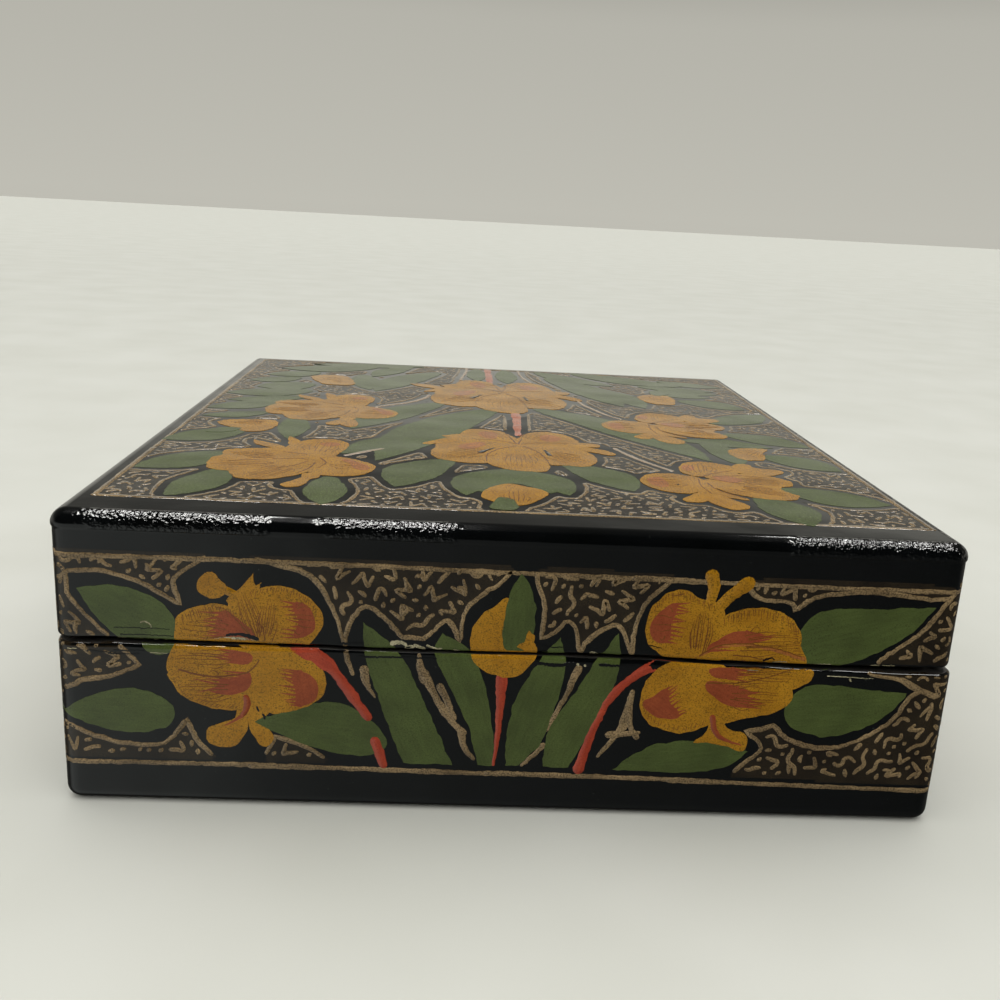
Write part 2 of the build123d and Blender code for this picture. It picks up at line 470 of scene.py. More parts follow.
def left_iris(p):
    """Turned iris on the left: two red-hearted lobes right, three petals left, a crest and two toes."""
    p.stroke("petal", [(-49, 40.7), (-46.5, 39.6), (-45.6, 38)], 1.4, 1.7, motif=True)
    p.patches("petal", [
        [(-52.4, 41.2), (-50.6, 43.4), (-48.3, 42), (-47.7, 40.2), (-49.6, 38.9), (-51.7, 39.4)],
        [(-47.4, 38), (-45, 41.2), (-43.2, 43.6, 0), (-42.9, 41.3), (-42.2, 41.4, 0), (-42.5, 39.5)],
        [(-47, 31), (-47.4, 37.6), (-45.8, 39.8), (-42.6, 39.8), (-41, 38), (-39.5, 31)],
        [(-46.5, 37), (-49, 37.7), (-52.3, 37.2), (-55.6, 35.6), (-56.1, 33.4), (-56, 30.9), (-50, 29.5),
         (-43, 30), (-43.5, 34)],
        [(-44.5, 37), (-42.6, 40.3), (-39.4, 41.4), (-35.6, 40.5), (-33, 38.2), (-31.8, 35.4), (-33, 32.4),
         (-35.5, 30.4), (-42, 30)],
        [(-55.9, 31, 0), (-57.2, 28.6), (-57.6, 26.2), (-56.9, 24.6), (-50, 23.5), (-41, 25.2), (-38, 30.7)],
    ])
    p.patch("petal", [(-57.2, 25.4), (-56.2, 22.4), (-54.4, 20.4), (-50.4, 18.8), (-45.6, 18.9), (-42.5, 21),
                      (-42, 27), (-49, 27.5)], lift=0.002)
    p.patch("petal", [(-44.5, 29), (-43.2, 19), (-40, 18.2), (-35, 19.4), (-32, 21.5), (-31.2, 24),
                      (-32, 26.6), (-34, 29.5)], lift=0.004)
    p.each(p.heart, [
        ([(-36.9, 38.4), (-34.6, 38.2), (-33.3, 35.6), (-33.6, 33.4), (-36.6, 32.2), (-35.9, 35)], (-1, 0.1),
         2.4),
        ([(-48.2, 36.7), (-46.4, 35.8), (-43, 31.9), (-46, 31.7), (-49.2, 32), (-49.4, 34.6)], (-1, -0.12),
         3.2),
        ([(-43.4, 28.6), (-45.4, 29.5), (-47.4, 29), (-46.8, 27.4), (-44.2, 27.2)], (-1, 0.05), 3.2),
        ([(-43.8, 25.2), (-44, 23), (-46.3, 21.6), (-49.4, 21.9), (-48.8, 24), (-46, 24.6), (-44.7, 25.4)],
         (-1, 0.1), 3.4),
        ([(-36.7, 25.9), (-33.8, 25.6), (-32.6, 23.2), (-33.2, 20.9), (-36, 19.8), (-36.4, 22.5)], (-1, 0.08),
         2.6),
    ])
    p.strokes("hair", [
        ([(-55.6, 25.8), (-52, 24.9), (-47.5, 24.9), (-44, 25.9), (-42.4, 28)], 0.35, 0.3),
        ([(-43.2, 31.5), (-47.5, 36.6), (-49.5, 37.2)], 0.26, 0.12),
    ])
    p.each(p.hairs, [
        ((-44, 32.5), (-56, 33.5), 7, 8), ((-44, 23), (-56, 22.5), 8, 9), ((-43, 28), (-57, 28), 5, 6),
        ((-42, 36), (-31.8, 35.8), 9, 6, 0.5, 0.98), ((-42.6, 31.6), (-45.4, 40.4), 5, 10, 0.1, 0.95),
        ((-41.6, 31.4), (-40.2, 40.8), 4.5, 9, 0.1, 0.8),
    ])
    p.each(p.fringe, [
        ([(-46.6, 36.9), (-49, 37.6), (-52.3, 37.1), (-55.4, 35.5)], (0.5, -1.9), 22),
        ([(-57.1, 24.8), (-56, 22.4), (-54.2, 20.5), (-50.4, 19), (-46.4, 18.9)], (1.2, 0.9), 20),
        ([(-44, 40.4), (-39.4, 41.3), (-35.8, 40.4), (-33.2, 38.2)], (-0.3, -1.3), 22),
    ])
    p.patch("stem", [(-37.8, 30.9, 0), (-33.2, 30.9, 0), (-31.4, 28.5), (-30.2, 27.4), (-31.2, 26.4),
                     (-33.4, 27.7), (-35.6, 29)], lift=0.024)
    p.patches("petal", [
        [(-45.4, 20.4), (-44.3, 16.4), (-45.5, 12.8), (-48, 11.4), (-50.8, 12.3), (-51.2, 14.6), (-49, 16),
         (-46.6, 17.2)],
        [(-44.6, 20.4), (-44.5, 16.7), (-43.7, 14.4), (-42.4, 12.2), (-41.3, 11.8), (-40.4, 12.5),
         (-40.1, 13.9), (-40.8, 15.2, 0), (-43.2, 16.5, 0), (-41.2, 17.7, 0), (-40.4, 19.6)],
    ], lift=0.003)
    p.stroke("heart", [(-44.6, 21), (-44.5, 19.4), (-45.5, 17.4), (-48.3, 15.6)], 1.5, 0.2, lift=0.004)
    for spot in ((-42.8, 19.3), (-41.8, 17.9)):
        p.stroke("black", [spot, (spot[0] + 0.25, spot[1] - 0.7)], 0.42)
    for spike in ((-43.2, 40.8, -42, 41.8), (-42.8, 40, -41.3, 40.9), (-41.6, 39.6, -40.6, 40.4)):
        p.stroke("petal", [spike[:2], spike[2:]], 0.4, 0.12)


def right_iris(p):
    """Turned iris on the right: two red-hearted lobes left, three petals right, two prongs and a toe."""
    p.strokes("petal", [
        ([(33.8, 40.4), (35.8, 42.8), (38.2, 44.9)], 1.8, 2.2),
        ([(32, 40.6), (32.5, 43.6), (32, 46)], 1.7, 2.2),
    ], motif=True)
    p.patches("petal", [
        [(33.5, 31), (35, 38.2), (33.5, 41), (30.6, 41.8), (28.2, 43.3), (25.2, 42.9), (22.8, 40.2),
         (21.7, 36.5), (22.4, 33.6), (25.2, 31.2), (28, 30)],
        [(31, 31), (33.6, 37.6), (36.5, 39.6), (41, 40.5), (45.5, 39.3), (48, 36.8), (48.5, 34), (49.6, 31.9),
         (49.9, 30.4, 0), (40, 29.6)],
        [(27, 30.6), (24.6, 29), (22.6, 26.4), (21.8, 22.8), (22.8, 19.4), (26, 17.4), (30, 17), (34, 18.6),
         (36, 22), (35.5, 30.6)],
        [(32, 30.6), (50.7, 30.4), (51.2, 28.8), (50.4, 27.1), (44, 24.6), (33, 24.6)],
    ])
    p.patch("petal", [(32.5, 27.4), (34, 19.8), (37, 19), (40, 20), (44, 20.7), (47.2, 22.7), (48.2, 25),
                      (46.5, 27), (40, 27.8)], lift=0.002)
    p.each(p.heart, [
        ([(23.4, 38.6), (26.4, 40.7), (26.1, 37.4), (25.6, 33.8), (23.4, 34), (22.5, 36.4)], (1, -0.05), 2.4),
        ([(22.4, 22.4), (24, 23.6), (26.4, 25.2), (27, 22.6), (28.9, 20.2), (25.8, 19.5), (23.6, 20.7)],
         (0.8, 0.6), 2.4),
        ([(32.4, 32.4), (34.6, 34.8), (37.4, 36.2), (40, 35.9), (41, 34.9), (38.6, 33.9), (35, 33.7)],
         (1, 0.08), 3.6),
        ([(33.2, 29.3), (35.6, 29.9), (38.2, 29.3), (37.6, 27.7), (34.4, 27.6)], (1, -0.05), 3.4),
        ([(32.8, 26.3), (36, 26.4), (39.6, 25), (40.6, 22.7), (38, 22.2), (35.2, 23.4)], (1, -0.02), 3.4),
    ])
    p.stroke("blush", [(30.8, 31.2), (34, 32.9), (38.6, 33.7), (43.4, 33.1), (49.2, 31.7)], 0.5, 0.7)
    p.strokes("hair", [
        ([(30.8, 31.2), (34.4, 33.4), (39, 33.9), (44, 33.3), (48.8, 32)], 0.3, 0.2),
        ([(33.2, 26.5), (38, 26.7), (42, 27.5), (45, 28.7), (47.6, 30.3)], 0.36, 0.2),
    ])
    p.each(p.fringe, [
        ([(34.8, 38.6), (37.4, 40), (41, 40.5), (45.4, 39.3), (47.8, 37)], (0.1, -1.8), 30),
        ([(47.8, 36.6), (48.4, 34.2), (49.2, 32.2)], (-1.6, 0.1), 10),
        ([(33.2, 40.9), (30.8, 41.6), (28.2, 43), (25.2, 42.7), (22.9, 40.1)], (0.1, -1.3), 24),
        ([(22.1, 23), (23.2, 19.6), (26.2, 17.6), (30, 17.2), (33.4, 18.4)], (0.2, 1.2), 20),
    ])
    p.each(p.hairs, [
        ((31, 31.6), (31.4, 40.6), 5.5, 11, 0.1, 0.9), ((32.5, 33), (48.8, 34.5), 8.5, 11),
        ((33, 28.5), (50.8, 28.2), 5, 7), ((33.5, 24.4), (47.6, 24), 7, 8),
        ((31, 37), (22, 37), 9, 5, 0.6, 1),
    ])
    p.patch("petal", [(34.3, 21), (34.2, 18), (33.2, 16.4), (31.9, 15.1, 0), (35, 15), (38, 14.4),
                      (40.7, 13.6), (41.3, 15.2), (40.4, 17.2), (38.4, 17.5), (37, 18.6), (36.6, 20.6)],
            lift=0.003)
    p.stroke("heart", [(34.7, 20), (35.3, 17.6), (36.8, 16), (40.2, 14.8)], 1.4, 0.3, lift=0.004)
    p.stroke("hair", [(26, 42.2), (27.5, 42.6)], 0.2)


def bud_and_stem(p):
    """Ochre bud in a green sepal, on a red stem."""
    p.patch("petal", [(-1.2, 40.4), (-4.2, 38.8), (-6.5, 36.4), (-7.4, 33.6), (-7.2, 30.4), (-6.1, 28.4),
                      (-3.6, 26.9), (-0.4, 26.4), (2.1, 27.8), (3.8, 30.4), (3.2, 33), (1.2, 34)])
    p.patch("petal", [(0.2, 32), (1.3, 33.1), (2.3, 34.8, 0), (3.4, 33.6), (3.6, 31.2), (1.4, 31)], lift=0.03,
            wobble=0.2)
    p.patch("leaf", [(0.5, 45.1, 0), (-1.2, 42), (-1.9, 37), (-1.7, 31.6), (1.6, 31.2), (2.9, 34), (3.1, 39),
                     (2, 43)], lift=0.04)
    p.stroke("stem", [(-1.8, 27.2), (-1.9, 22), (-2, 16), (-2.5, 9.6)], 1.9, 0.5, motif=True)


def front_stems(p):
    """Red stems from the flowers down to the lower gold line."""
    p.stroke("stem", [(-38.5, 30.9), (-34.4, 29.9), (-31, 27.6), (-27.9, 23.4), (-24.2, 18)], 2.5, 1.7,
             motif=True, lift=0.012)
    p.stroke("stem", [(-22.9, 13.4), (-21.4, 8.9)], 1.8, 1.4, motif=True)
    p.strokes("stem", [
        ([(30, 30.2), (24.5, 29.6), (19.8, 26.6), (16.4, 22.4), (15.2, 19.4)], 2.2, 1.2),
        ([(15.6, 20.4), (14, 16), (12.3, 9.2)], 1.2, 1.9),
    ], motif=True, lift=0.012)


def tall_leaves(p):
    """Blades that rise from the lower line on each side of the middle stem."""
    p.patches("leaf", [
        [(-25.4, 35.5, 0), (-24.9, 30), (-22.3, 21), (-18, 9.3, 0), (-9.6, 9.3, 0), (-12.2, 15.4),
         (-15.4, 22.6), (-19.6, 30.6)],
        [(-12.2, 34, 0), (-13.3, 30.3), (-10, 23), (-7, 16.4), (-5.2, 9.4, 0), (-2.5, 9.4, 0), (-2.7, 14),
         (-3.6, 20.4), (-5.4, 27), (-7.6, 31)],
        [(7.6, 34, 0), (4.6, 30), (1.4, 24), (-0.4, 17), (-0.5, 9.4, 0), (1.9, 9.5, 0), (3.7, 11.6),
         (5.4, 14), (6.9, 19), (8.3, 24.6), (8.7, 30)],
        [(17.4, 35, 0), (14, 30), (10.5, 23.6), (7, 17.4), (6.1, 12.6), (6, 9.4, 0), (10.5, 9.4, 0),
         (12.4, 13.4), (15.1, 19.4), (17.3, 25.6), (18, 30)],
    ])


def left_leaves(p):
    """Leaves left of the left iris, and the one under its stem."""
    p.patches("leaf", [
        [(-71.8, 39.7, 0), (-66, 40.5), (-60, 38.8), (-56.7, 36), (-55.5, 31.2), (-60, 30.7), (-65, 31),
         (-68.2, 34)],
        [(-75.4, 17.4, 0), (-70.5, 20.4), (-64, 22), (-58.6, 20.6), (-56.4, 17.6), (-58.2, 15), (-64, 13.8),
         (-70, 14.9)],
    ])
    p.patch("leaf", [(-43.9, 16.4, 0), (-38.5, 18.5), (-33, 20.5), (-29, 20.4), (-25, 18.6), (-21.6, 15.2),
                     (-20.9, 13), (-22.4, 11.3), (-27, 10.7), (-33, 11.8), (-38.4, 14)], lift=0.006)
    p.patch("leaf", [(-61.6, 31), (-56.4, 31, 0), (-56.8, 28.9), (-60, 28.6)])


def right_leaves(p):
    """Leaves right of the right iris, and the one under its toe."""
    p.patches("leaf", [
        [(47.6, 34), (50, 39.6), (55, 40.9), (63, 41.3), (70.6, 41.8, 0), (67.8, 37.8), (63, 34), (57, 31.2),
         (50, 30.7)],
        [(50.2, 26.4), (55, 26.8), (60, 26.3), (67.9, 25.8, 0), (65.4, 21.8), (61, 18.8), (55.4, 17),
         (50, 17.9), (47.2, 20.6), (47.8, 24)],
        [(18.2, 9.3, 0), (21, 11.8), (24.4, 14), (30, 15.3), (36, 15), (41.4, 13.6, 0), (39, 11), (34, 9.4),
         (28, 9.1)],
    ])


# Brown spandrels of the front, which gold lines bound
FRONT_SPANDRELS = [
    [(-75.6, 46.4), (-75.6, 41.6), (-72.9, 42.6), (-68, 43), (-62, 41.3), (-55.2, 37.5, 0), (-56, 42),
     (-51.3, 46.4)],
    [(-76.4, 43), (-76.4, 30.4, 0), (-66.2, 30.4, 0), (-73, 38.2), (-73.8, 43)],
    [(-76.4, 30.8, 0), (-66, 30.8, 0), (-62.1, 26.4, 0), (-66.4, 24.4), (-71, 23.4), (-76.4, 22)],
    [(-76.4, 14.8), (-70, 13), (-65, 11.7), (-58.4, 12), (-54.6, 16.4, 0), (-52.8, 12.6), (-50.2, 8.6),
     (-76.4, 8.6)],
    [(-41, 8.8), (-39.8, 13.8, 0), (-37.6, 13.1), (-35, 12.1), (-31.2, 8.8)],
    [(-43.6, 46.4), (-34.2, 43.4), (-30.2, 37.4), (-28.4, 31.4, 0), (-27.6, 35), (-25, 38.2), (-22, 36.4),
     (-18.8, 33, 0), (-15.2, 32.8, 0), (-13.4, 34.6), (-11.4, 36.2), (-9.2, 32.6, 0), (-8.5, 38), (-6, 41),
     (-2.9, 43.4), (-1.3, 46.2)],
    [(3.8, 46), (4.7, 39), (4.3, 33.5, 0), (6.6, 34.8), (8.8, 36.8), (10.4, 34.4), (10.9, 31, 0), (12.6, 34),
     (15, 35.9), (17.4, 36.3), (19.8, 30.8, 0), (20, 36), (21.6, 41), (25.2, 46)],
    [(38.3, 45.5), (40.2, 42.4), (46, 41.6), (46.6, 40.3, 0), (48.6, 42), (51, 43.1), (56, 43.9), (60, 44.1),
     (72.6, 43.4), (73.1, 45.5)],
    [(76.4, 45.5), (73.2, 43.7), (69.2, 37.6), (65.4, 34.2), (61.6, 31, 0), (76.4, 31, 0)],
    [(76.4, 30.4, 0), (60.4, 30.2, 0), (62, 29.2), (66, 28.6), (70.4, 26.4, 0), (68.4, 24.8), (66.2, 20.7),
     (62.6, 17.6), (58, 15.2), (54, 14.7), (50.4, 15.4), (48, 16.4), (45.4, 18.9, 0), (43.4, 18),
     (40.8, 17.6, 0), (43.8, 14.4), (42, 12), (39.2, 8.4), (76.4, 7.6)],
]
# Gold bits of the front that stand by themselves in the black: points, width, end width
FRONT_BITS = [
    ([(-28.4, 32), (-27.9, 29), (-26.9, 26)], 1.2, 0.7),
    ([(-25, 26.9), (-24.6, 24.4), (-23.1, 21.8)], 1.7, 0.4),
    ([(-15.9, 30), (-15.6, 27.6), (-14.6, 25.4)], 0.8, 2.3),
    ([(-14.6, 25.6), (-12.2, 21), (-9.6, 17.2), (-7.8, 15.6)], 1.4, 1.2),
    ([(-12.2, 24.2), (-10.4, 20.4), (-9.6, 18.2)], 1.3, 0.9),
    ([(-8.3, 15.8), (-7.6, 12.6), (-6, 10.6)], 1.3, 0.8),
    ([(11, 28.4), (10.2, 26.4), (9.4, 23.8), (8, 20.6), (6.3, 16.6)], 1.3, 0.7),
    ([(5.9, 13.6), (4.8, 12.1), (3.4, 10.6), (2.4, 9.6)], 1.1, 0.6),
    ([(20.5, 24.4), (20, 20.6), (19.4, 17.6)], 0.8, 1.8),
    ([(19.4, 17.8), (17.6, 14.9), (15.5, 11.8)], 1.5, 0.6),
    ([(20.2, 20.6), (20.7, 17.6), (21.9, 15.7)], 1.2, 0.9),
    ([(17, 16), (19.6, 16.3), (22.2, 16.6)], 1.2, 0.8),
    ([(62, 29.2), (66, 28.5), (69.6, 26.6), (72.8, 25.4)], 0.8, 1.5),
]


def gold_band(p, line, width=0.98):
    """A long gold line, laid in overlapping pulls of the brush."""
    start = 0
    while start < len(line) - 2:
        end = start + p.random.integers(8, 15)
        end = len(line) if end > len(line) - 4 else end
        pull = line[start:end] + p.random.uniform(-0.08, 0.08)
        p.stroke("gold", [tuple(q) for q in pull], width * p.random.uniform(0.9, 1.08), width * 0.92,
                 wobble=0.04)
        start = end - 2 if end < len(line) else end


# Wear along the front's seam, as strokes with width and end width: pale ground laid bare, and dark losses
PALE_WEAR = [
    ([(-70.2, 31.25), (-67, 31.15), (-63.4, 31.3)], 0.4, 0.2), ([(-62.6, 31.25), (-57, 31.2)], 0.16, 0.1),
    ([(-50.4, 31.4), (-47.4, 31.9), (-44, 31.75), (-42, 31.15)], 0.62, 0.45),
    ([(-41, 31.3), (-38.5, 31.2)], 0.22, 0.1), ([(-60.2, 29.2), (-57.4, 29.2)], 0.14, 0.08),
    ([(-61.6, 34.4), (-60.8, 34.5), (-60, 33.9), (-60, 33.6)], 0.3, 0.12),
    ([(-20.4, 32.2), (-19, 32.4), (-18.2, 32)], 0.8, 0.5),
    ([(-18, 31.5), (-16.4, 31.8), (-15, 31.3)], 0.7, 0.4),
    ([(-14.6, 32), (-13, 31.5), (-12.2, 31.6)], 0.4, 0.3), ([(-10.6, 31.3), (-8.6, 31.3)], 0.3, 0.2),
    ([(-5, 31.1), (-2, 31.15), (0.8, 31.1)], 0.22, 0.16), ([(13, 31.5), (13.9, 31.3)], 0.75, 0.5),
    ([(14, 30.9), (13.4, 31)], 0.4, 0.3), ([(10.8, 29.6), (10.9, 29.4)], 0.45, 0.3),
    ([(12, 29.5), (12.1, 29.4)], 0.4, 0.3), ([(29.6, 31.2), (33, 31.25)], 0.2, 0.12),
    ([(36, 31.1), (38.6, 31.2), (42, 31.2)], 0.3, 0.2), ([(44, 31.4), (46.4, 31.5)], 0.22, 0.12),
    ([(50.6, 31.3), (54, 31.4)], 0.16, 0.1), ([(61, 31.3), (65, 31.35)], 0.2, 0.14),
    ([(53.6, 29.2), (58, 29), (61.6, 28.9)], 0.17, 0.1), ([(-73.6, 29.6), (-72.2, 29.6)], 0.24, 0.14),
    ([(39.8, 29.9), (41.6, 29.8)], 0.26, 0.12), ([(57.6, 28.6), (57.8, 28.2)], 0.4, 0.25),
]
DARK_WEAR = [
    ([(-47.6, 32.5), (-46, 32.8), (-44.4, 32.6), (-42.8, 32.1)], 0.6, 0.95),
    ([(-66, 29.4), (-61.2, 29.5)], 0.34, 0.12), ([(-70.4, 29.3), (-66.6, 29)], 0.3, 0.14),
    ([(-67, 28.8), (-62, 28.9)], 0.18, 0.08), ([(-66, 33.3), (-61, 33.4), (-57, 33.3)], 0.14, 0.08),
    ([(-65, 32.1), (-60, 32.2), (-56.4, 32.1)], 0.18, 0.08), ([(-29, 31.8), (-25.4, 32)], 0.5, 0.2),
    ([(2.4, 33.8), (5, 32.6), (8, 32.5)], 0.3, 0.2), ([(3.4, 31.5), (5.6, 31.6)], 0.5, 0.3),
    ([(3.6, 29.6), (7.8, 29.4), (10, 29.7)], 0.7, 0.5), ([(14.6, 29.7), (20.6, 29.6)], 0.6, 0.4),
    ([(42.4, 31.7), (43.6, 32.1), (44.2, 31.8)], 0.3, 0.2),
    ([(-26, 29.7), (-20, 29.9), (-13, 29.8)], 0.4, 0.3), ([(22.6, 33.4), (24.8, 33)], 0.2, 0.1),
]


def worn_seam(p, strokes=26):
    """Chips and cracks along the cut, where the lid has been pressed down and pulled off."""
    for k in range(strokes):
        x = p.random.uniform(*p.ends)
        length = p.random.uniform(0.6, 4)
        side = p.random.choice([-1, 1])
        z = seam_z + side * p.random.uniform(0.4, 0.9)
        pale = k % 3 > 0
        points = [(x, z), (x + length / 2, z + p.random.uniform(-0.1, 0.2)), (x + length, z)]
        width = p.random.uniform(0.14, 0.4)
        p.stroke("gesso" if pale else "black", points, width, width * 0.5, wobble=0.05)


# How the front's shapes, which were read at a scale of their own, are brought onto the box, and the height of
# the seam at which the wear strokes were read
FRONT_PLACE = (0.0, -0.15, 1.0, 0.9825)
WEAR_SEAM_Z = 31.05


def front_panel():
    """The front, which is read off stroke by stroke."""
    half = reach_x + arc_length / 2
    low = [(-half, 8.7), (-40, 8.9), (0, 8.6), (25, 8.4), (45, 8.1), (half, 7.6)]
    high = [(-half, 45.6), (-45, 45.7), (-15, 45.5), (12, 45.3), (30, 45.0), (45, 44.8), (half, 44.8)]
    p = Panel("front", 11, (-half, half), low, high)
    p.place = FRONT_PLACE
    left_leaves(p)
    right_leaves(p)
    tall_leaves(p)
    front_stems(p)
    left_iris(p)
    right_iris(p)
    bud_and_stem(p)
    for points, width, end_width in FRONT_BITS:
        p.stroke("gold", points, width, end_width)
    p.spandrels = [smooth_line(p.put(points), closed=True) for points in FRONT_SPANDRELS]
    p.place = (0.0, seam_z - WEAR_SEAM_Z, 1.0, 1.0)
    for layer, wear in (("gesso", PALE_WEAR), ("black", DARK_WEAR)):
        for points, width, end_width in wear:
            p.stroke(layer, points, width, end_width, step=0.3)
    return p


def side_panel(name, seed, reach, spread, mirror):
    """A side or the back: the same family of flowers, spread to that face's length."""
    long_face = spread > 6
    half = reach + arc_length / 2
    low = [(-half, 7.6), (0, 8.3), (half, 8.7)]
    high = [(-half, 44.8), (0, 45.2), (half, 45.6)]
    if mirror < 0:
        low, high = ([(-x, z) for x, z in reversed(line)] for line in (low, high))
    p = Panel(name, seed, (-half, half), low, high)
    for group, shift in ((left_leaves, -spread), (right_leaves, spread), (tall_leaves, 0), (front_stems, 0),
                         (left_iris, -spread), (right_iris, spread), (bud_and_stem, 0)):
        p.place = (shift * mirror + p.random.uniform(-1, 1), p.random.uniform(-0.6, 0.2), mirror,
                   FRONT_PLACE[3])
        if group is front_stems and long_face:
            continue
        group(p)
    p.place = (0, 0, mirror, 1.0)
    if long_face:
        p.stroke("stem", [(-38.5 - spread, 30.5), (-33 - spread, 28.6), (-31, 21), (-26, 9)], 2.4, 1.5,
                 motif=True, lift=0.012)
        p.stroke("stem", [(30 + spread, 30.2), (22 + spread, 28), (24, 20), (21, 9)], 1.7, 2.2, motif=True,
                 lift=0.012)
        p.along("leaf", (-29, 9.5), (-41, 29), 6.5, LEAF, 1.0)
        p.along("leaf", (25, 9.5), (30, 30), 6, LEAF, -1.0)
    p.place = AS_READ
    worn_seam(p)
    return p


# ---- The top's flowers and leaves, x and y on the lid ----

def top_iris(p, place, petals, blushes, folds, centre, tips):
    """One of the lid's irises: petals, soft red-brown blushes, and folds and hairs out from its centre."""
    p.place = place
    for points in petals:
        p.patch("petal", points)
    for points in blushes:
        p.patch("blush", points, motif=False, wobble=0.05)
    for points in folds:
        p.stroke("hair", points, 0.4, 0.2)
    for tip, width in tips:
        p.hairs(centre, tip, width, 8, 0.45, 0.96)


def top_left_iris(p, dx=0.0, dy=0.0):
    """Turned iris on the lid's left: prongs and a lobe up, three petals left, a lobe right and a toe."""
    top_iris(p, (dx, dy, 1.0, 1.0), [
        [(-45, -40), (-48.5, -35), (-53.6, -31.6, 0), (-52.6, -35.4), (-48, -39)],
        [(-44.6, -38), (-46.4, -32), (-47, -26.8, 0), (-44, -31), (-43, -36)],
        [(-46, -38), (-44.7, -34), (-43.7, -31.2), (-41.6, -28.8), (-39.3, -28.1), (-36.4, -28.6),
         (-34.1, -31.2), (-33.5, -34), (-33.8, -37.2), (-34.6, -40.3), (-35.6, -44), (-40, -46)],
        [(-45.5, -38.2), (-51, -39.2), (-55.1, -40.5), (-57.2, -41.8), (-57.7, -43.9), (-57.2, -46),
         (-58, -49), (-46, -48), (-38, -46)],
        [(-57.6, -47.6), (-58.8, -51.7), (-58.2, -54.6), (-57.4, -57.4), (-54, -58.6), (-45, -56), (-38, -50),
         (-38.6, -46)],
        [(-54, -56.5), (-53, -60), (-52, -62.1), (-51, -63.7), (-48.4, -64.3), (-45.2, -63.9), (-42.1, -61.6),
         (-40, -59.4), (-38.6, -52)],
        [(-36.6, -43.6), (-34.3, -44.2), (-32.2, -45.2), (-29.6, -47), (-27.6, -48.9), (-26.5, -51.7),
         (-27, -54.8), (-28.3, -57.4), (-31.2, -59.3), (-34.4, -59.6), (-37.5, -59), (-39.4, -55)],
        [(-39.6, -58.6), (-39.6, -62), (-41.6, -65.4), (-42.3, -67.2), (-41.4, -68.7), (-39.6, -68.6),
         (-38.2, -66.4), (-37.7, -63.2), (-36.2, -60.6), (-37, -58.4)],
    ], [
        [(-33.2, -46), (-29.8, -48.6), (-27.8, -51.2), (-28, -54.2), (-30.2, -53.8), (-31.6, -49.8)],
        [(-39.4, -32.6), (-36.6, -31.4), (-35.4, -33.4), (-36.6, -35), (-39, -34.4)],
    ], [
        [(-41, -43.2), (-46, -41.6)], [(-40, -47.4), (-43, -47), (-47, -48.4)],
        [(-40, -49), (-42, -52.6), (-45, -55.6)], [(-38.4, -50), (-39, -54.6), (-40.6, -58.4)],
        [(-37.8, -46), (-36.4, -49.6), (-37.4, -54)],
    ], (-39.5, -48), [
        ((-38.6, -28.6), 11), ((-27.2, -53), 11), ((-57.6, -43.6), 7), ((-58.2, -54), 9), ((-49, -64), 9),
    ])


def top_right_iris(p, dx=0.0, dy=0.0):
    """Turned iris on the lid's right: a prong and a lobe up, a lobe left, three petals right and two toes."""
    top_iris(p, (dx, dy, 1.0, 1.0), [
        [(46.6, -39.6), (47.6, -37.2), (49.8, -34.9), (51.6, -36), (52, -38.2), (56.2, -39.2), (57.4, -40.6),
         (56, -43), (52.4, -45), (48, -44)],
        [(38, -48), (35.6, -46), (34.9, -43.6), (35.4, -40.8), (36.9, -37.2), (39.5, -34.8), (42.6, -34.7),
         (45.2, -36.1), (47.4, -38.4), (47, -44)],
        [(38, -50), (36.6, -47.6), (34.3, -47), (31.2, -46.4), (28.1, -47.6), (26, -50.2), (25.2, -53.3),
         (25.7, -56.6), (28.1, -60), (31.2, -61.6), (34, -61.4), (36.4, -58)],
        [(39, -48), (44, -44.6), (49, -44.2), (52.4, -44.8), (54.8, -46.6), (56.3, -49.6), (54.8, -53.2),
         (46, -53)],
        [(39, -50), (53, -52), (52.5, -56), (53.6, -58.5), (54.7, -60.2), (53, -63.2), (49.4, -63.9),
         (44.7, -62.6), (40, -58)],
        [(36.6, -50), (39.6, -52), (39.6, -58.6), (44, -64.6), (41, -64), (38.4, -62.6), (35.6, -62.4),
         (35, -58)],
        [(36.4, -61.4), (39, -62.8), (41.3, -65.8), (42.6, -68.6), (41.7, -71), (39, -71.7), (36.6, -69),
         (35.6, -65.4)],
        [(35.2, -61), (32.6, -63.6), (31.1, -66), (32.2, -67.8), (35, -67.2), (37, -64)],
    ], [
        [(27, -51.4), (29.4, -49.8), (30.4, -52.6), (30, -57), (28.2, -57.6), (26.8, -55)],
        [(35.8, -41), (37.4, -38), (38.8, -39.4), (38, -42.4), (36.6, -43.4)],
        [(41, -47.4), (44.6, -47), (46.4, -49.4), (44.2, -52), (41.4, -50.6)],
    ], [
        [(38.6, -53), (39.4, -58), (43.4, -63.8)], [(41, -47.4), (47, -45.8), (52, -46.6)],
        [(40, -49.6), (46, -52.4), (53, -52.4)], [(37.4, -50), (36.8, -55), (37.4, -61)],
        [(38.6, -48), (41.4, -45), (46.4, -41.4)],
    ], (38.6, -51), [
        ((40.6, -35.2), 10), ((25.6, -54), 12), ((56, -49), 8), ((53.6, -61), 9),
    ])
    p.stroke("black", [(32.2, -55.4), (32.4, -55.2)], 0.5)


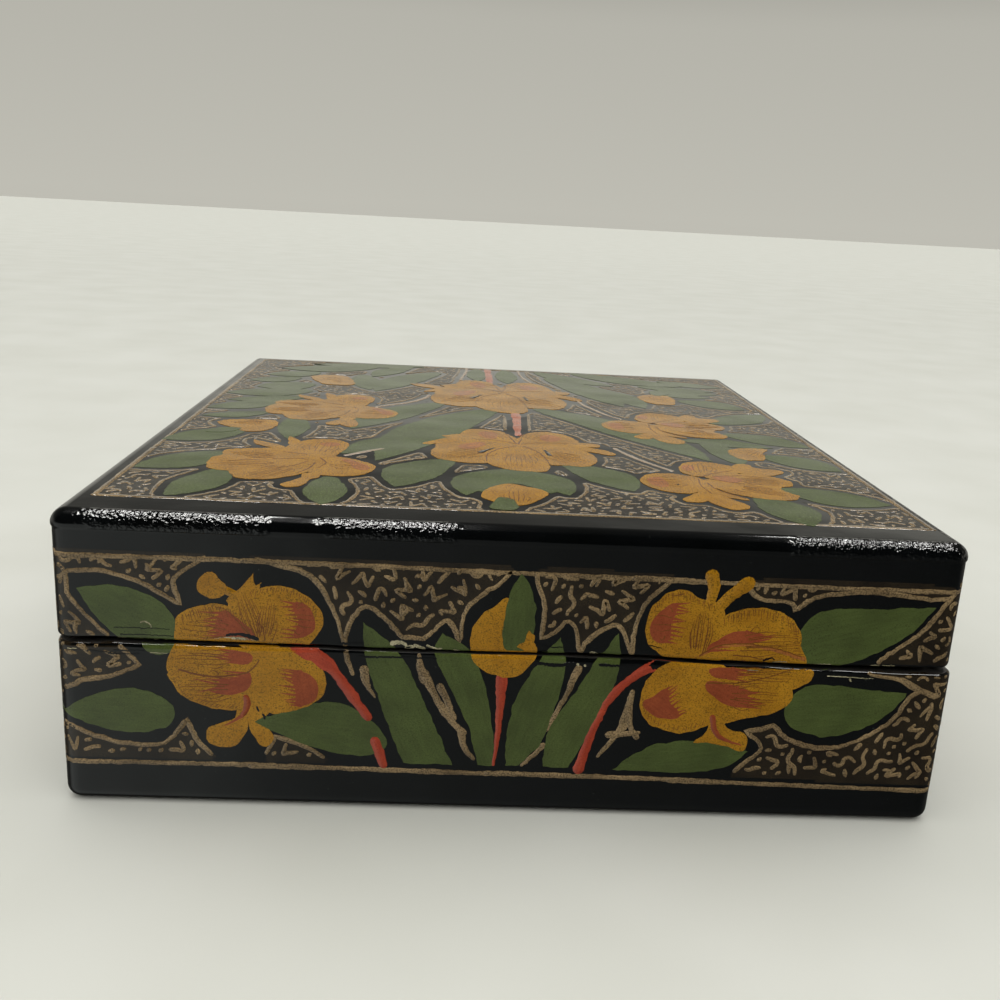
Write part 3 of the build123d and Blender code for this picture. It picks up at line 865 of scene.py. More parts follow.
def open_iris(p, place):
    """The middle iris, seen full face: two lobes up, two falls aside, one in the middle, and prongs."""
    top_iris(p, place, [
        [(-11.5, -21.5), (-14.6, -23.4), (-17.4, -26.6), (-18, -28.6), (-15.6, -28), (-12.4, -26)],
        [(-9, -17), (-14.2, -19.2, 0), (-11, -22)],
        [(15.5, -21.5), (18, -20.8), (21, -22), (20.6, -24.4), (18, -25), (14, -25)],
        [(15, -24.4), (20.2, -26.4), (22.8, -29), (23.6, -31.4), (22, -32.2), (19.6, -30.6), (16, -28)],
        [(2.6, -27), (-0.2, -12.4), (-3.6, -10.5), (-6.8, -10.5), (-8.8, -12.1), (-9.6, -15.2), (-10.2, -18),
         (-8, -24)],
        [(3, -27), (4.4, -14.8), (6.8, -11.6), (9.9, -10.5), (13.5, -12.1), (15.6, -15.7), (16.6, -20),
         (15, -25)],
        [(-1, -26), (-8, -20), (-11, -20), (-14.4, -23), (-15.2, -27), (-15.4, -31), (-16.2, -35),
         (-16, -38.2), (-14.6, -41.6), (-11, -43.7), (-7.8, -44.5), (-4.4, -43.4), (-3, -34)],
        [(4, -26), (14, -20.5), (16.6, -24), (17.2, -29), (18.5, -33), (18.8, -37), (17.6, -41),
         (15.4, -43.5), (12, -43.3), (8.2, -42.8), (7, -34)],
        [(-4.8, -41.5), (-4.4, -44), (-3, -46.4), (-0.4, -48.6), (3, -49.6), (6.4, -49.3), (7.9, -47.2),
         (8.2, -43), (7.4, -30), (3, -24), (-2.6, -30)],
    ], [
        [(-5.6, -14), (-3, -13), (-1.6, -17), (-3, -20.6), (-5.4, -18)],
        [(9.4, -14), (12.4, -15), (12.6, -19), (9.4, -21), (8, -17.4)],
        [(-8, -26), (-5, -24.6), (-5.4, -29), (-9, -32), (-10.4, -29)],
    ], [
        [(2.6, -25), (-2, -22), (-7.6, -21.6)], [(3.4, -25), (8, -22.6), (14, -22)],
        [(2, -27), (-2, -31), (-4.4, -37), (-4.6, -42)], [(3.8, -27), (6.6, -32), (7.8, -38), (8.2, -43)],
        [(2.4, -25), (1.4, -19), (0.4, -14)], [(2.8, -25), (3.8, -19), (4.4, -15)],
    ], (2.6, -26), [
        ((-6, -11), 10), ((10.4, -11), 11), ((-14, -41.6), 12), ((16.6, -41.6), 12), ((2, -49.2), 11),
    ])
    p.stroke("black", [(-5.6, -34.4), (-4, -31.6), (-2.6, -29.8)], 1.7, 0.4)
    p.stroke("black", [(8.2, -30.2), (8.9, -34.6)], 0.5, 1.0)


# Buds of the lid: outline, and the foot and head between which their hairs run
TOP_BUDS = [
    ([(-6.1, -68.4), (-5.2, -64.7), (-3.1, -61.6), (-0.8, -60), (2.6, -61.8), (5.2, -63.7), (6.2, -66.3),
     (5.2, -68.9), (3.6, -71.5), (2, -73.8), (-1, -74.6), (-4, -73), (-5.8, -71)], (0, -74), (0.4, -61)),
    ([(-64.8, -15.7), (-64, -12.6), (-60.3, -11), (-55.1, -10), (-52.5, -11), (-51.5, -15.2), (-52, -19.4),
     (-54.1, -23), (-57.2, -23.6), (-60.3, -20.4)], (-53, -12), (-63.6, -16)),
    ([(49.7, -25.2), (50.4, -22), (53, -19.6), (57.5, -18.4), (60, -19.2), (57.9, -23), (57.4, -27),
     (56.4, -30), (54.4, -31), (52, -30.9), (50.3, -28.3)], (58.6, -20), (52.4, -30)),
    ([(-53.4, 55), (-51.2, 58), (-48, 59.2), (-43.7, 58), (-41.6, 53.7), (-40.4, 48.4), (-40, 44),
     (-43.2, 42.4), (-48, 43), (-50.2, 46.4), (-52.3, 50.6)], (-50, 58), (-42, 43.4)),
    ([(40.6, 42), (41, 46.3), (44.3, 49.5), (47, 50.1), (50.1, 47.9), (50.8, 44.1), (50.2, 38.8),
     (48.5, 34.5), (44.3, 34.7), (42, 37)], (47, 50), (45.6, 35)),
]


def top_buds(p):
    """The lid's five buds, with the sepals that show."""
    p.place = AS_READ
    for outline, foot, head in TOP_BUDS:
        p.patch("petal", outline)
        p.hairs(foot, head, 7, 6, 0.2, 0.8)
    p.patch("leaf", [(-4.6, -77.4), (-4.2, -73.6), (-3.4, -71), (-2.2, -69.8), (-0.6, -71.2), (0, -74),
                     (-0.4, -77.4)], lift=0.04)
    p.along("leaf", (-65, -25.6), (-58.6, -20.2), 4.6, LEAF, lift=0.04)
    p.along("leaf", (46.6, 48.6), (50.4, 59), 6, LEAF, lift=0.04)


# Leaves of the lid: base, tip, width, bend
TOP_LEAVES = [
    ((-54.5, -57.5), (-60.2, -77.6), 8.9, 1), ((-34.4, -60.6), (-33.6, -79.5), 7.8, 0),
    ((-57.5, -44), (-70.8, -59), 10.8, 1), ((-58, -21), (-72, -35), 10.3, 1),
    ((-12.4, -42.5), (-22, -65.6), 11.3, -2), ((12, -42.5), (22.8, -62), 10.8, 2),
    ((-1, -49), (-9, -69.4), 8.1, -2.5), ((1, -49), (10, -67), 7.6, 2.5),
    ((53, -55.5), (70.8, -64.4), 11.3, -1), ((46.5, -62), (50.8, -80.5), 10.2, 1),
    ((57, -26), (70.6, -38.5), 10.3, 1), ((46.6, -13), (49.8, -36.5), 7.6, 1),
    ((-15, 21), (-35, -16), 11, -2), ((-2, 15), (-27, -46), 14.6, -3), ((-21, -21), (-34.5, -41), 8.6, 0),
    ((10, 19), (44, -34), 13.4, 4), ((42, -13), (62, -17.5), 7.6, 1), ((-49, -4), (-47, -29.5), 7, 0.5),
    ((-56, 14.5), (-71, 1.5), 9.2, 1), ((-50, 22), (-68.5, 13), 7.6, 1), ((-50, 31), (-71, 23), 10.8, 1),
    ((-56, -1), (-70, -8), 6.5, 1), ((-51, 42), (-65, 34), 12.2, 1), ((54, 9.5), (71, 25), 10.3, -1),
    ((54, -3.5), (71, -15.5), 10.3, 1), ((52, 42), (68, 31), 10.8, 1), ((50, 57), (66, 55), 8.1, 0),
    ((-39, 62), (-35, 37), 8.8, 0), ((-17, 73), (-33.5, 35), 10.8, -2), ((-36, 79), (-64, 68), 12.2, 2),
    ((-22, 84), (-56, 80), 8.1, 1), ((-26, 82), (-36, 60), 8.1, -1), ((-52, 63), (-66, 55), 9.5, 1),
    ((-56, 52), (-69, 44), 8.1, 1), ((-5, 84), (-5, 60), 6.1, 0), ((17, 72), (34, 28), 12.2, 2),
    ((30, 56), (40, 27), 9.5, 1), ((26, 84), (58, 67), 12.2, -2), ((14, 83), (36, 62), 9.5, -2),
    ((44, 64), (66, 60), 8.1, -1), ((46, 56), (62, 48), 8.1, -1), ((52, 76), (70, 68), 8.1, -1),
    ((4, 84), (4, 58), 6.8, 0),
]
# Stems of the lid: paint, points, width, end width
TOP_STEMS = [
    ("pink", [(3.9, 14), (3.9, 4), (3.4, -8), (3.3, -15)], 2.4, 1.5),
    ("pink", [(-1.4, 84), (-1.4, 70), (-1.3, 56)], 2.1, 1.9),
    ("vine", [(-33.3, -42.4), (-30, -38.6), (-26.4, -35)], 1.0, 1.0),
    ("vine", [(24.2, -25), (25.4, -28.8), (27.6, -34), (30.7, -39.8), (33.3, -43.9)], 0.9, 1.1),
    ("vine", [(-31.2, 11.8), (-28.1, 15.5), (-24.4, 19.1), (-21.3, 23.8), (-19.2, 29), (-18.5, 32.6)],
     1.1, 1.1),
    ("vine", [(22.2, 35), (22.9, 29), (25, 22.2), (27.6, 15), (30.7, 9.8)], 1.0, 1.0),
    ("vine", [(-8, 85), (-8.4, 76), (-9.6, 66), (-10, 61)], 0.9, 0.9),
    ("vine", [(8.3, 84.7), (8.5, 76.7), (9.6, 67.6), (11.2, 61.2)], 0.9, 0.9),
]
# The lid's gold border: corners at the front left, front right, back right and back left
TOP_BORDER = [(-71.6, -78.7), (72.2, -79.5), (72.2, 84.3), (-71.6, 84.3)]


def top_panel():
    """The lid's top: a bouquet that grows from the far edge."""
    front_left, front_right, back_right, back_left = TOP_BORDER
    p = Panel("top", 23, (front_left[0], front_right[0]), [front_left, front_right], [back_left, back_right],
              margin=1.9)
    for base, tip, width, bend in TOP_LEAVES:
        p.along("leaf", base, tip, width, LEAF, bend)
    for paint, points, width, end_width in TOP_STEMS:
        p.stroke(paint, points, width, end_width, motif=True)
    p.patch("leaf", [(-1.6, -49.6), (-5.6, -59), (-6.2, -66.5), (-3, -61.5), (0, -59.6), (3, -61.4),
                     (7.2, -65.5), (6.8, -58.5), (1.6, -49.6)])
    p.along("petal", (-14, 44), (-24.5, 50.5), 4.5, LEAF)
    p.along("petal", (-37.6, -2), (-35, -14.4), 4.4, PETAL)
    open_iris(p, AS_READ)
    open_iris(p, (-1.1, 74.0, 1.043, 1.26))
    top_left_iris(p)
    top_left_iris(p, 1.2, 56.0)
    top_right_iris(p)
    top_right_iris(p, -0.5, 54.5)
    top_buds(p)
    return p


# ---- Gold filling between the motifs ----

# Cell sizes of the height field and of the squiggles' own grid, and how far a shape's edge tells in the field
GRID = 0.5
FINE = 0.25
FIELD_REACH = 9.0
# How far the brown ground runs on past its edge, under the gold lines
GROUND_OVERLAP = 0.1
# Gold contours: their width, and how far from a border and from the seam they keep
GOLD_WIDTH = 0.86
BORDER_ROOM = 0.8
SEAM_ROOM = 0.75
# Gold squiggles: width, length of a step, room at the edge of the ground, and room from one to the next
SQUIGGLE_WIDTH = 0.8
SQUIGGLE_STEP = 0.6
SQUIGGLE_ROOM = 0.98
SQUIGGLE_SPACING = 1.38
# Turns at each step of a squiggle, and how often each kind comes: tick, hook, S, Z, V, angle and long wave
HABITS = [(0, 0.1, 0, -0.1), (0, 0, 0, 1.2, 1.0, 0.1), (0, 0.7, 0.7, 0.4, -0.5, -0.7, -0.6, 0),
          (0, 0, 0, 2.2, 0, 0, 0, -2.2, 0, 0, 0), (0, 0, 0, 0, 2.1, 0, 0, 0), (0, 0, 0, 1.4, 0, 0, 0),
          (0.4, 0.4, 0, -0.4, -0.5, -0.3, 0.4, 0.4, 0)]
HABIT_SHARES = [0.1, 0.17, 0.18, 0.17, 0.13, 0.11, 0.14]
# How many of the longer squiggles fork
BRANCH_SHARE = 0.3


def runs_of(keep):
    """Stretches of neighbouring places that are kept."""
    places = np.arange(len(keep))
    runs = np.split(places, np.flatnonzero(np.diff(keep.astype(int))) + 1)
    return [run for run in runs if keep[run[0]] and len(run) > 3]


class Filling:
    """A panel's brown spandrels, as a height field that is above zero inside them, with their gold drawn."""

    def __init__(self, panel, end_room=0.55):
        self.panel = panel
        left, right = panel.ends
        self.x = np.arange(left, right + GRID / 2, GRID)
        self.y = np.arange(panel.low[:, 1].min(), panel.high[:, 1].max() + GRID / 2, GRID)
        grid_x, grid_y = np.meshgrid(self.x, self.y, indexing="ij")
        above = grid_y - np.interp(grid_x, *panel.low.T)
        below = np.interp(grid_x, *panel.high.T) - grid_y
        self.inner = np.minimum.reduce([grid_x - left + end_room, right - grid_x + end_room, above, below])
        if panel.spandrels is not None:
            outlines, margin, sign = panel.spandrels, 0.0, -1
        else:
            outlines, margin, sign = panel.motifs, panel.margin, 1
        self.field = np.full(grid_x.shape, sign * FIELD_REACH)
        for outline in outlines:
            low, high = outline.min(0) - FIELD_REACH, outline.max(0) + FIELD_REACH
            i = slice(*np.searchsorted(self.x, [low[0], high[0]]))
            j = slice(*np.searchsorted(self.y, [low[1], high[1]]))
            cells = grid_x[i, j]
            if not cells.size:
                continue
            points = np.column_stack([cells.ravel(), grid_y[i, j].ravel()])
            away = sign * (outline_distance(outline, points).reshape(cells.shape) - margin)
            pick = np.maximum if sign < 0 else np.minimum
            self.field[i, j] = pick(self.field[i, j], away)
        self.draw_contours()
        self.squiggles()

    def at(self, points, field):
        """A field's values at any points, between those of its grid."""
        i = np.clip((points[:, 0] - self.x[0]) / GRID, 0, len(self.x) - 1.001)
        j = np.clip((points[:, 1] - self.y[0]) / GRID, 0, len(self.y) - 1.001)
        a, b = i.astype(int), j.astype(int)
        u, v = i - a, j - b
        return (field[a, b] * (1 - u) * (1 - v) + field[a + 1, b] * u * (1 - v)
                + field[a, b + 1] * (1 - u) * v + field[a + 1, b + 1] * u * v)

    def contours(self):
        """Lines on which the field crosses zero, each a run of points."""
        f = self.field
        above = f > 0
        mixed = above[:-1, :-1].astype(int) + above[1:, :-1] + above[:-1, 1:] + above[1:, 1:]
        links = {}
        for i, j in np.argwhere((mixed > 0) & (mixed < 4)):
            crossings = []
            for a, b in (((i, j), (i + 1, j)), ((i + 1, j), (i + 1, j + 1)),
                         ((i, j + 1), (i + 1, j + 1)), ((i, j), (i, j + 1))):
                if above[a] != above[b]:
                    t = f[a] / (f[a] - f[b])
                    place = (self.x[a[0]] + GRID * t * (b[0] - a[0]), self.y[a[1]] + GRID * t * (b[1] - a[1]))
                    crossings.append(((a, b), place))
            for one, two in ((0, 1), (2, 3)) if len(crossings) == 4 else ((0, 1),):
                links.setdefault(crossings[one][0], [crossings[one][1]]).append(crossings[two][0])
                links.setdefault(crossings[two][0], [crossings[two][1]]).append(crossings[one][0])
        lines = []
        ends = [k for k in links if len(links[k]) == 2]
        for key in ends + list(links):
            if key not in links:
                continue
            line = []
            while key in links:
                point, *after = links.pop(key)
                line.append(point)
                key = next((k for k in after if k in links), None)
            if len(line) > 6:
                line = np.array(line)[::2]
                lines.append(np.vstack([line[:1], (line[:-2] + 2 * line[1:-1] + line[2:]) / 4, line[-1:]]))
        return lines

    def draw_contours(self):
        """Gold lines round the spandrels, left out where a border or the seam ends them."""
        panel = self.panel
        if panel.spandrels is None:
            lines = self.contours()
        else:
            lines = [np.vstack([ring, ring[:1]]) for ring in panel.spandrels]
        for line in lines:
            keep = self.at(line, self.inner) > BORDER_ROOM
            if panel.spandrels is not None:
                keep &= np.abs(line[:, 1] - seam_z) > SEAM_ROOM
            for run in runs_of(keep):
                wobble = panel.random.normal(0, 0.06, (len(run), 2))
                panel.line("gold", line[run] + wobble, GOLD_WIDTH * panel.pressure(len(run), 0.14))

    def squiggles(self):
        """Small gold hooks, curls, ticks and dots, each grown where there is still room for it."""
        panel, random = self.panel, self.panel.random
        x = np.arange(self.x[0], self.x[-1], FINE)
        y = np.arange(self.y[0], self.y[-1], FINE)
        corner = np.array([x[0], y[0]])
        places = np.stack(np.meshgrid(x, y, indexing="ij"), -1)
        room = self.at(places.reshape(-1, 2), np.minimum(self.field, self.inner)).reshape(places.shape[:2])
        free = room > SQUIGGLE_ROOM
        reach = int(SQUIGGLE_SPACING / FINE) + 1
        disc = np.mgrid[-reach:reach + 1, -reach:reach + 1].reshape(2, -1).T
        disc = disc[np.hypot(*disc.T) * FINE < SQUIGGLE_SPACING]

        def cell_of(point):
            return tuple(np.round((point - corner) / FINE).astype(int))

        def grow(start):
            """One squiggle's points, as long as they stay in free cells."""
            heading = random.uniform(0, 2 * math.pi)
            bend = random.choice([-1, 1])
            line = [start]
            for turn in HABITS[random.choice(len(HABITS), p=HABIT_SHARES)]:
                heading += bend * turn + random.normal(0, 0.12)
                point = line[-1] + SQUIGGLE_STEP * np.array([math.cos(heading), math.sin(heading)])
                i, j = cell_of(point)
                if not (0 <= i < len(x) and 0 <= j < len(y) and free[i, j]):
                    break
                line.append(point)
            return line

        def draw(line):
            line = smooth_line(line, step=0.3)
            swell = random.uniform([0.7, 0.9, 0.85, 0.5], [1.1, 1.2, 1.15, 0.9])
            taper = np.interp(np.linspace(0, 1, len(line)), [0, 0.3, 0.75, 1], swell)
            panel.line("squiggle", line, SQUIGGLE_WIDTH * taper)

        for i, j in random.permutation(np.argwhere(free)):
            if not free[i, j]:
                continue
            lines = [max((grow(places[i, j]) for _ in range(8)), key=len)]
            if len(lines[0]) > 4 and random.random() < BRANCH_SHARE:
                lines.append(grow(lines[0][len(lines[0]) // 2])[:4])
            if len(lines[0]) < 2:
                lines[0].append(lines[0][0] + random.uniform(0.15, 0.3, 2))
            for point in np.concatenate(lines):
                cells = disc + cell_of(point)
                cells = cells[(cells >= 0).all(1) & (cells[:, 0] < len(x)) & (cells[:, 1] < len(y))]
                free[cells[:, 0], cells[:, 1]] = False
            for line in lines:
                if len(line) > 1:
                    draw(line)

    def ground(self, rows):
        """Cells of brown ground as columns of x, y corners, between rows that the shells need."""
        cells = []
        for x0 in self.x[:-1]:
            cells.extend((x0, y0, x0 + GRID, y1) for y0, y1 in zip(rows[:-1], rows[1:]))
        cells = np.array(cells)
        middle = (cells[:, :2] + cells[:, 2:]) / 2
        return cells[self.at(middle, np.minimum(self.field, self.inner)) > -GROUND_OVERLAP]


# ---- Coats: painted shapes turned into meshes on the shells ----

class Coat:
    """Faces of one paint on one body, gathered into one piece."""

    def __init__(self):
        self.points, self.faces, self.brush, self.count = [], [], [], 0

    def add(self, points, faces, brush):
        self.points.append(points)
        self.faces.extend([tuple(i + self.count for i in face) for face in faces])
        self.brush.append(brush)
        self.count += len(points)


coats = {}


def coat(body, layer):
    """The coat for a paint on a body, made when first asked for."""
    return coats.setdefault((body, layer), Coat())


CORNER_MIDDLES = leg_ends[[1, 3, 5, 7]] - legs[1] / 2 - reach_x


def corner_cuts(low, high):
    """Distances at which a shape that runs round the box's corner needs extra columns."""
    cuts = []
    for middle in CORNER_MIDDLES:
        for turn in range(-1, 2):
            centre = middle + turn * perimeter
            cuts.extend(c for c in centre + np.linspace(-0.5, 0.5, 11) * arc_length if low < c < high)
    return cuts


# Heights on the walls at which paint bends with the shell, and those between which a body's paint stays
RIM_ROWS = (0.08, 0.2, 0.4, 0.7, 1.1, 2, 3)
ROWS = {"tray": [tray_rim_z - d for d in RIM_ROWS], "lid": [lid_rim_z + d for d in RIM_ROWS]}
LIMITS = {"tray": (0.0, tray_rim_z - 0.03), "lid": (lid_rim_z + 0.03, top_z)}


def tone_of(points):
    """A share from 0 to 1 that gives each painted shape a tone of its own."""
    return np.random.default_rng(abs(int(points.sum() * 50))).random()


def lay_patch(surface, body, limits, origin, layer, outline, brush, height):
    """A filled shape: triangles in its outline, cut where the shell bends, and sides down to the lacquer."""
    low, high = outline.min(0), outline.max(0)
    if high[1] < limits[0] or low[1] > limits[1]:
        return
    turning = np.cross(outline, np.roll(outline, -1, axis=0)).sum()
    points = [tuple(p) for p in (outline if turning > 0 else outline[::-1])]
    edges = []
    rows, columns = [], []
    if surface is wall_points:
        rows = [z for z in ROWS[body] if low[1] < z < high[1]]
        columns = [c - origin for c in corner_cuts(low[0] + origin, high[0] + origin)]
    for z in rows:
        edges.append((len(points), len(points) + 1))
        points += [(low[0] - 1, z), (high[0] + 1, z)]
    for c in columns:
        edges.append((len(points), len(points) + 1))
        points += [(c, low[1] - 1), (c, high[1] + 1)]
    result = delaunay_2d_cdt([Vector(p) for p in points], edges, [list(range(len(outline)))], 0, 1e-4)
    flat = np.array(result[0])[:, :2]
    faces = [tuple(f) for f, source in zip(result[2], result[5]) if source]
    faces = [f for f in faces if limits[0] < flat[list(f), 1].mean() < limits[1]]
    if not faces:
        return
    used = sorted({i for f in faces for i in f})
    renumber = {old: new for new, old in enumerate(used)}
    faces = [tuple(renumber[i] for i in f) for f in faces]
    flat = flat[used]
    top = surface(body, flat[:, 0] + origin, flat[:, 1], height)
    foot = surface(body, flat[:, 0] + origin, flat[:, 1], -SKIRT_DROP)
    edges = dict.fromkeys((a, b) for f in faces for a, b in zip(f, f[1:] + f[:1]))
    rim = [(a, b) for a, b in edges if (b, a) not in edges]
    loop = sorted({i for edge in rim for i in edge})
    count, below = len(flat), len(loop)
    on_rim = {i: count + k for k, i in enumerate(loop)}
    skirt = [(on_rim[a], on_rim[a] + below, on_rim[b] + below, on_rim[b]) for a, b in rim]
    across = np.array([-brush[1], brush[0]])
    mark = np.column_stack([flat @ brush, flat @ across, np.full(count, tone_of(flat))])
    points = np.vstack([top, top[loop], foot[loop]])
    coat(body, layer).add(points, faces + skirt, np.vstack([mark, mark[loop], mark[loop]]))


# Across a brush line: place from side to side, and whether it is on top of the paint
BRUSH_SECTION = [(-1, False), (-0.86, True), (0.86, True), (1, False)]
# Round ends of a brush line: how far past its end, and how wide there, as shares of the width
BRUSH_END = [(0.45, 0.25), (0.3, 0.75)]


def inner_room(line):
    """How far a brush line may reach to its left and to its right before a turn folds it over."""
    step = np.diff(line, axis=0)
    heading = np.arctan2(step[:, 1], step[:, 0])
    turn = np.pad((np.diff(heading) + math.pi) % (2 * math.pi) - math.pi, 1)
    length = np.hypot(*step.T)
    length = np.minimum(np.append(length, length[-1]), np.append(length[0], length))
    rooms = []
    for side in (1, -1):
        room = 0.9 * length / np.maximum(turn * side, 1e-3)
        beside = np.pad(room, 1, mode="edge")
        rooms.append(np.minimum.reduce([beside[:-2] + length, room, beside[2:] + length]))
    return rooms


def lay_line(surface, body, limits, origin, layer, line, widths, height):
    """A brush line: a low crowned ribbon with round ends, in the parts of it that lie on this shell."""
    inside = (line[:, 1] > limits[0]) & (line[:, 1] < limits[1])
    runs = np.split(np.arange(len(line)), np.flatnonzero(np.diff(inside.astype(int))) + 1)
    for run in runs:
        if not inside[run[0]] or len(run) < 2:
            continue
        part, width = line[run], widths[run]
        start = (part[0] - part[1]) / (math.hypot(*(part[0] - part[1])) + 1e-9)
        end = (part[-1] - part[-2]) / (math.hypot(*(part[-1] - part[-2])) + 1e-9)
        part = np.vstack([*(part[0] + start * width[0] * past for past, _ in BRUSH_END), part,
                          *(part[-1] + end * width[-1] * past for past, _ in reversed(BRUSH_END))])
        width = np.concatenate([[width[0] * wide for _, wide in BRUSH_END], width,
                                [width[-1] * wide for _, wide in reversed(BRUSH_END)]])
        part[:, 1] = np.clip(part[:, 1], *limits)
        across = sides_of(part)
        room = inner_room(part)
        columns = []
        for side, on_top in BRUSH_SECTION:
            reach = np.minimum(abs(side) * width / 2, room[int(side < 0)]) * np.sign(side)
            flat = part + across * reach[:, None]
            flat[:, 1] = np.clip(flat[:, 1], *limits)
            level = height if on_top else -SKIRT_DROP
            columns.append(surface(body, flat[:, 0] + origin, flat[:, 1], level))
        count, wide = len(part), len(columns)
        points = np.stack(columns, 1).reshape(-1, 3)
        faces = [(r * wide + c, (r + 1) * wide + c, (r + 1) * wide + c + 1, r * wide + c + 1)
                 for r in range(count - 1) for c in range(wide - 1)]
        travel = np.concatenate([[0], np.cumsum(np.hypot(*np.diff(part, axis=0).T))])
        tone = tone_of(part)
        brush = [(travel[r], side * width[r] / 2, tone) for r in range(count) for side, _ in BRUSH_SECTION]
        coat(body, layer).add(points, faces, np.array(brush))


def lay_ground(surface, body, limits, origin, filling):
    """The brown ground of the spandrels, in small cells that follow the shell."""
    rows = filling.y[(filling.y > limits[0]) & (filling.y < limits[1])]
    rows = np.concatenate([[max(limits[0], filling.y[0])], rows, [min(limits[1], filling.y[-1])]])
    rows = np.unique(np.round(rows, 4))
    cells = filling.ground(rows)
    if not len(cells):
        return
    corners = cells[:, [0, 1, 2, 1, 2, 3, 0, 3]].reshape(-1, 2)
    keys, index = np.unique(np.round(corners, 3), axis=0, return_inverse=True)
    index = index.reshape(-1, 4)
    points = surface(body, keys[:, 0] + origin, keys[:, 1], HEIGHTS["ground"])
    faces = [tuple(row) for row in index.tolist()]
    coat(body, "ground").add(points, faces, np.column_stack([keys, np.zeros(len(keys))]))


def paint(panel, surface, bodies, origin, filling):
    """Lays a panel's shapes on the shells that they cross."""
    for body in bodies:
        limits = LIMITS[body] if surface is wall_points else (-half_depth, half_depth)
        start = origin - (lid_shift if body == "lid" and panel.name == "front" else 0)
        lay_ground(surface, body, limits, start, filling)
        for number, (kind, layer, line, detail, lift) in enumerate(panel.shapes):
            height = HEIGHTS[layer] + lift + (number % 12) * SHAPE_STEP
            lay = lay_patch if kind == "patch" else lay_line
            lay(surface, body, limits, start, layer, line, detail, height)


def paint_everything():
    """All five painted faces."""
    for p in (front_panel(), side_panel("right", 31, reach_y, 13, 1.0),
              side_panel("back", 47, reach_x, 0.5, -1.0), side_panel("left", 59, reach_y, 13, -1.0)):
        filling = Filling(p)
        gold_band(p, p.low)
        gold_band(p, p.high)
        paint(p, wall_points, ("tray", "lid"), SIDE_CENTRES[p.name], filling)
    p = top_panel()
    filling = Filling(p, end_room=0.0)
    for start, end in zip(TOP_BORDER, TOP_BORDER[1:] + TOP_BORDER[:1]):
        gold_band(p, smooth_line([start, end], step=4), 1.2)
    paint(p, top_points, ("lid",), 0.0, filling)


# ---- Materials ----

# Stretches of the lid's edge, left to right, where the lacquer ran and dried in wrinkles; how strong the
# wrinkles are, and their share elsewhere
WRINKLED_STRETCHES = [(-70, -42), (-32, -11), (45, 74)]
EDGE_WRINKLES = 5.0
SMOOTH_SHARE = 0.01
# How much the brush's ridges, the board's swell and the dust's grit tell in the varnish
RIDGES, SWELL, GRIT = 0.35, 6.0, 0.3


def feed(tree, socket, value):
    """Links a socket to another one, or sets it to a value."""
    if isinstance(value, bpy.types.NodeSocket):
        tree.links.new(value, socket)
    else:
        socket.default_value = value


def add_node(tree, kind, inputs=None, **settings):
    """A node with its settings, and its inputs linked or set."""
    node = tree.nodes.new(kind)
    for key, value in settings.items():
        setattr(node, key, value)
    for key, value in (inputs or {}).items():
        feed(tree, node.inputs[key], value)
    return node


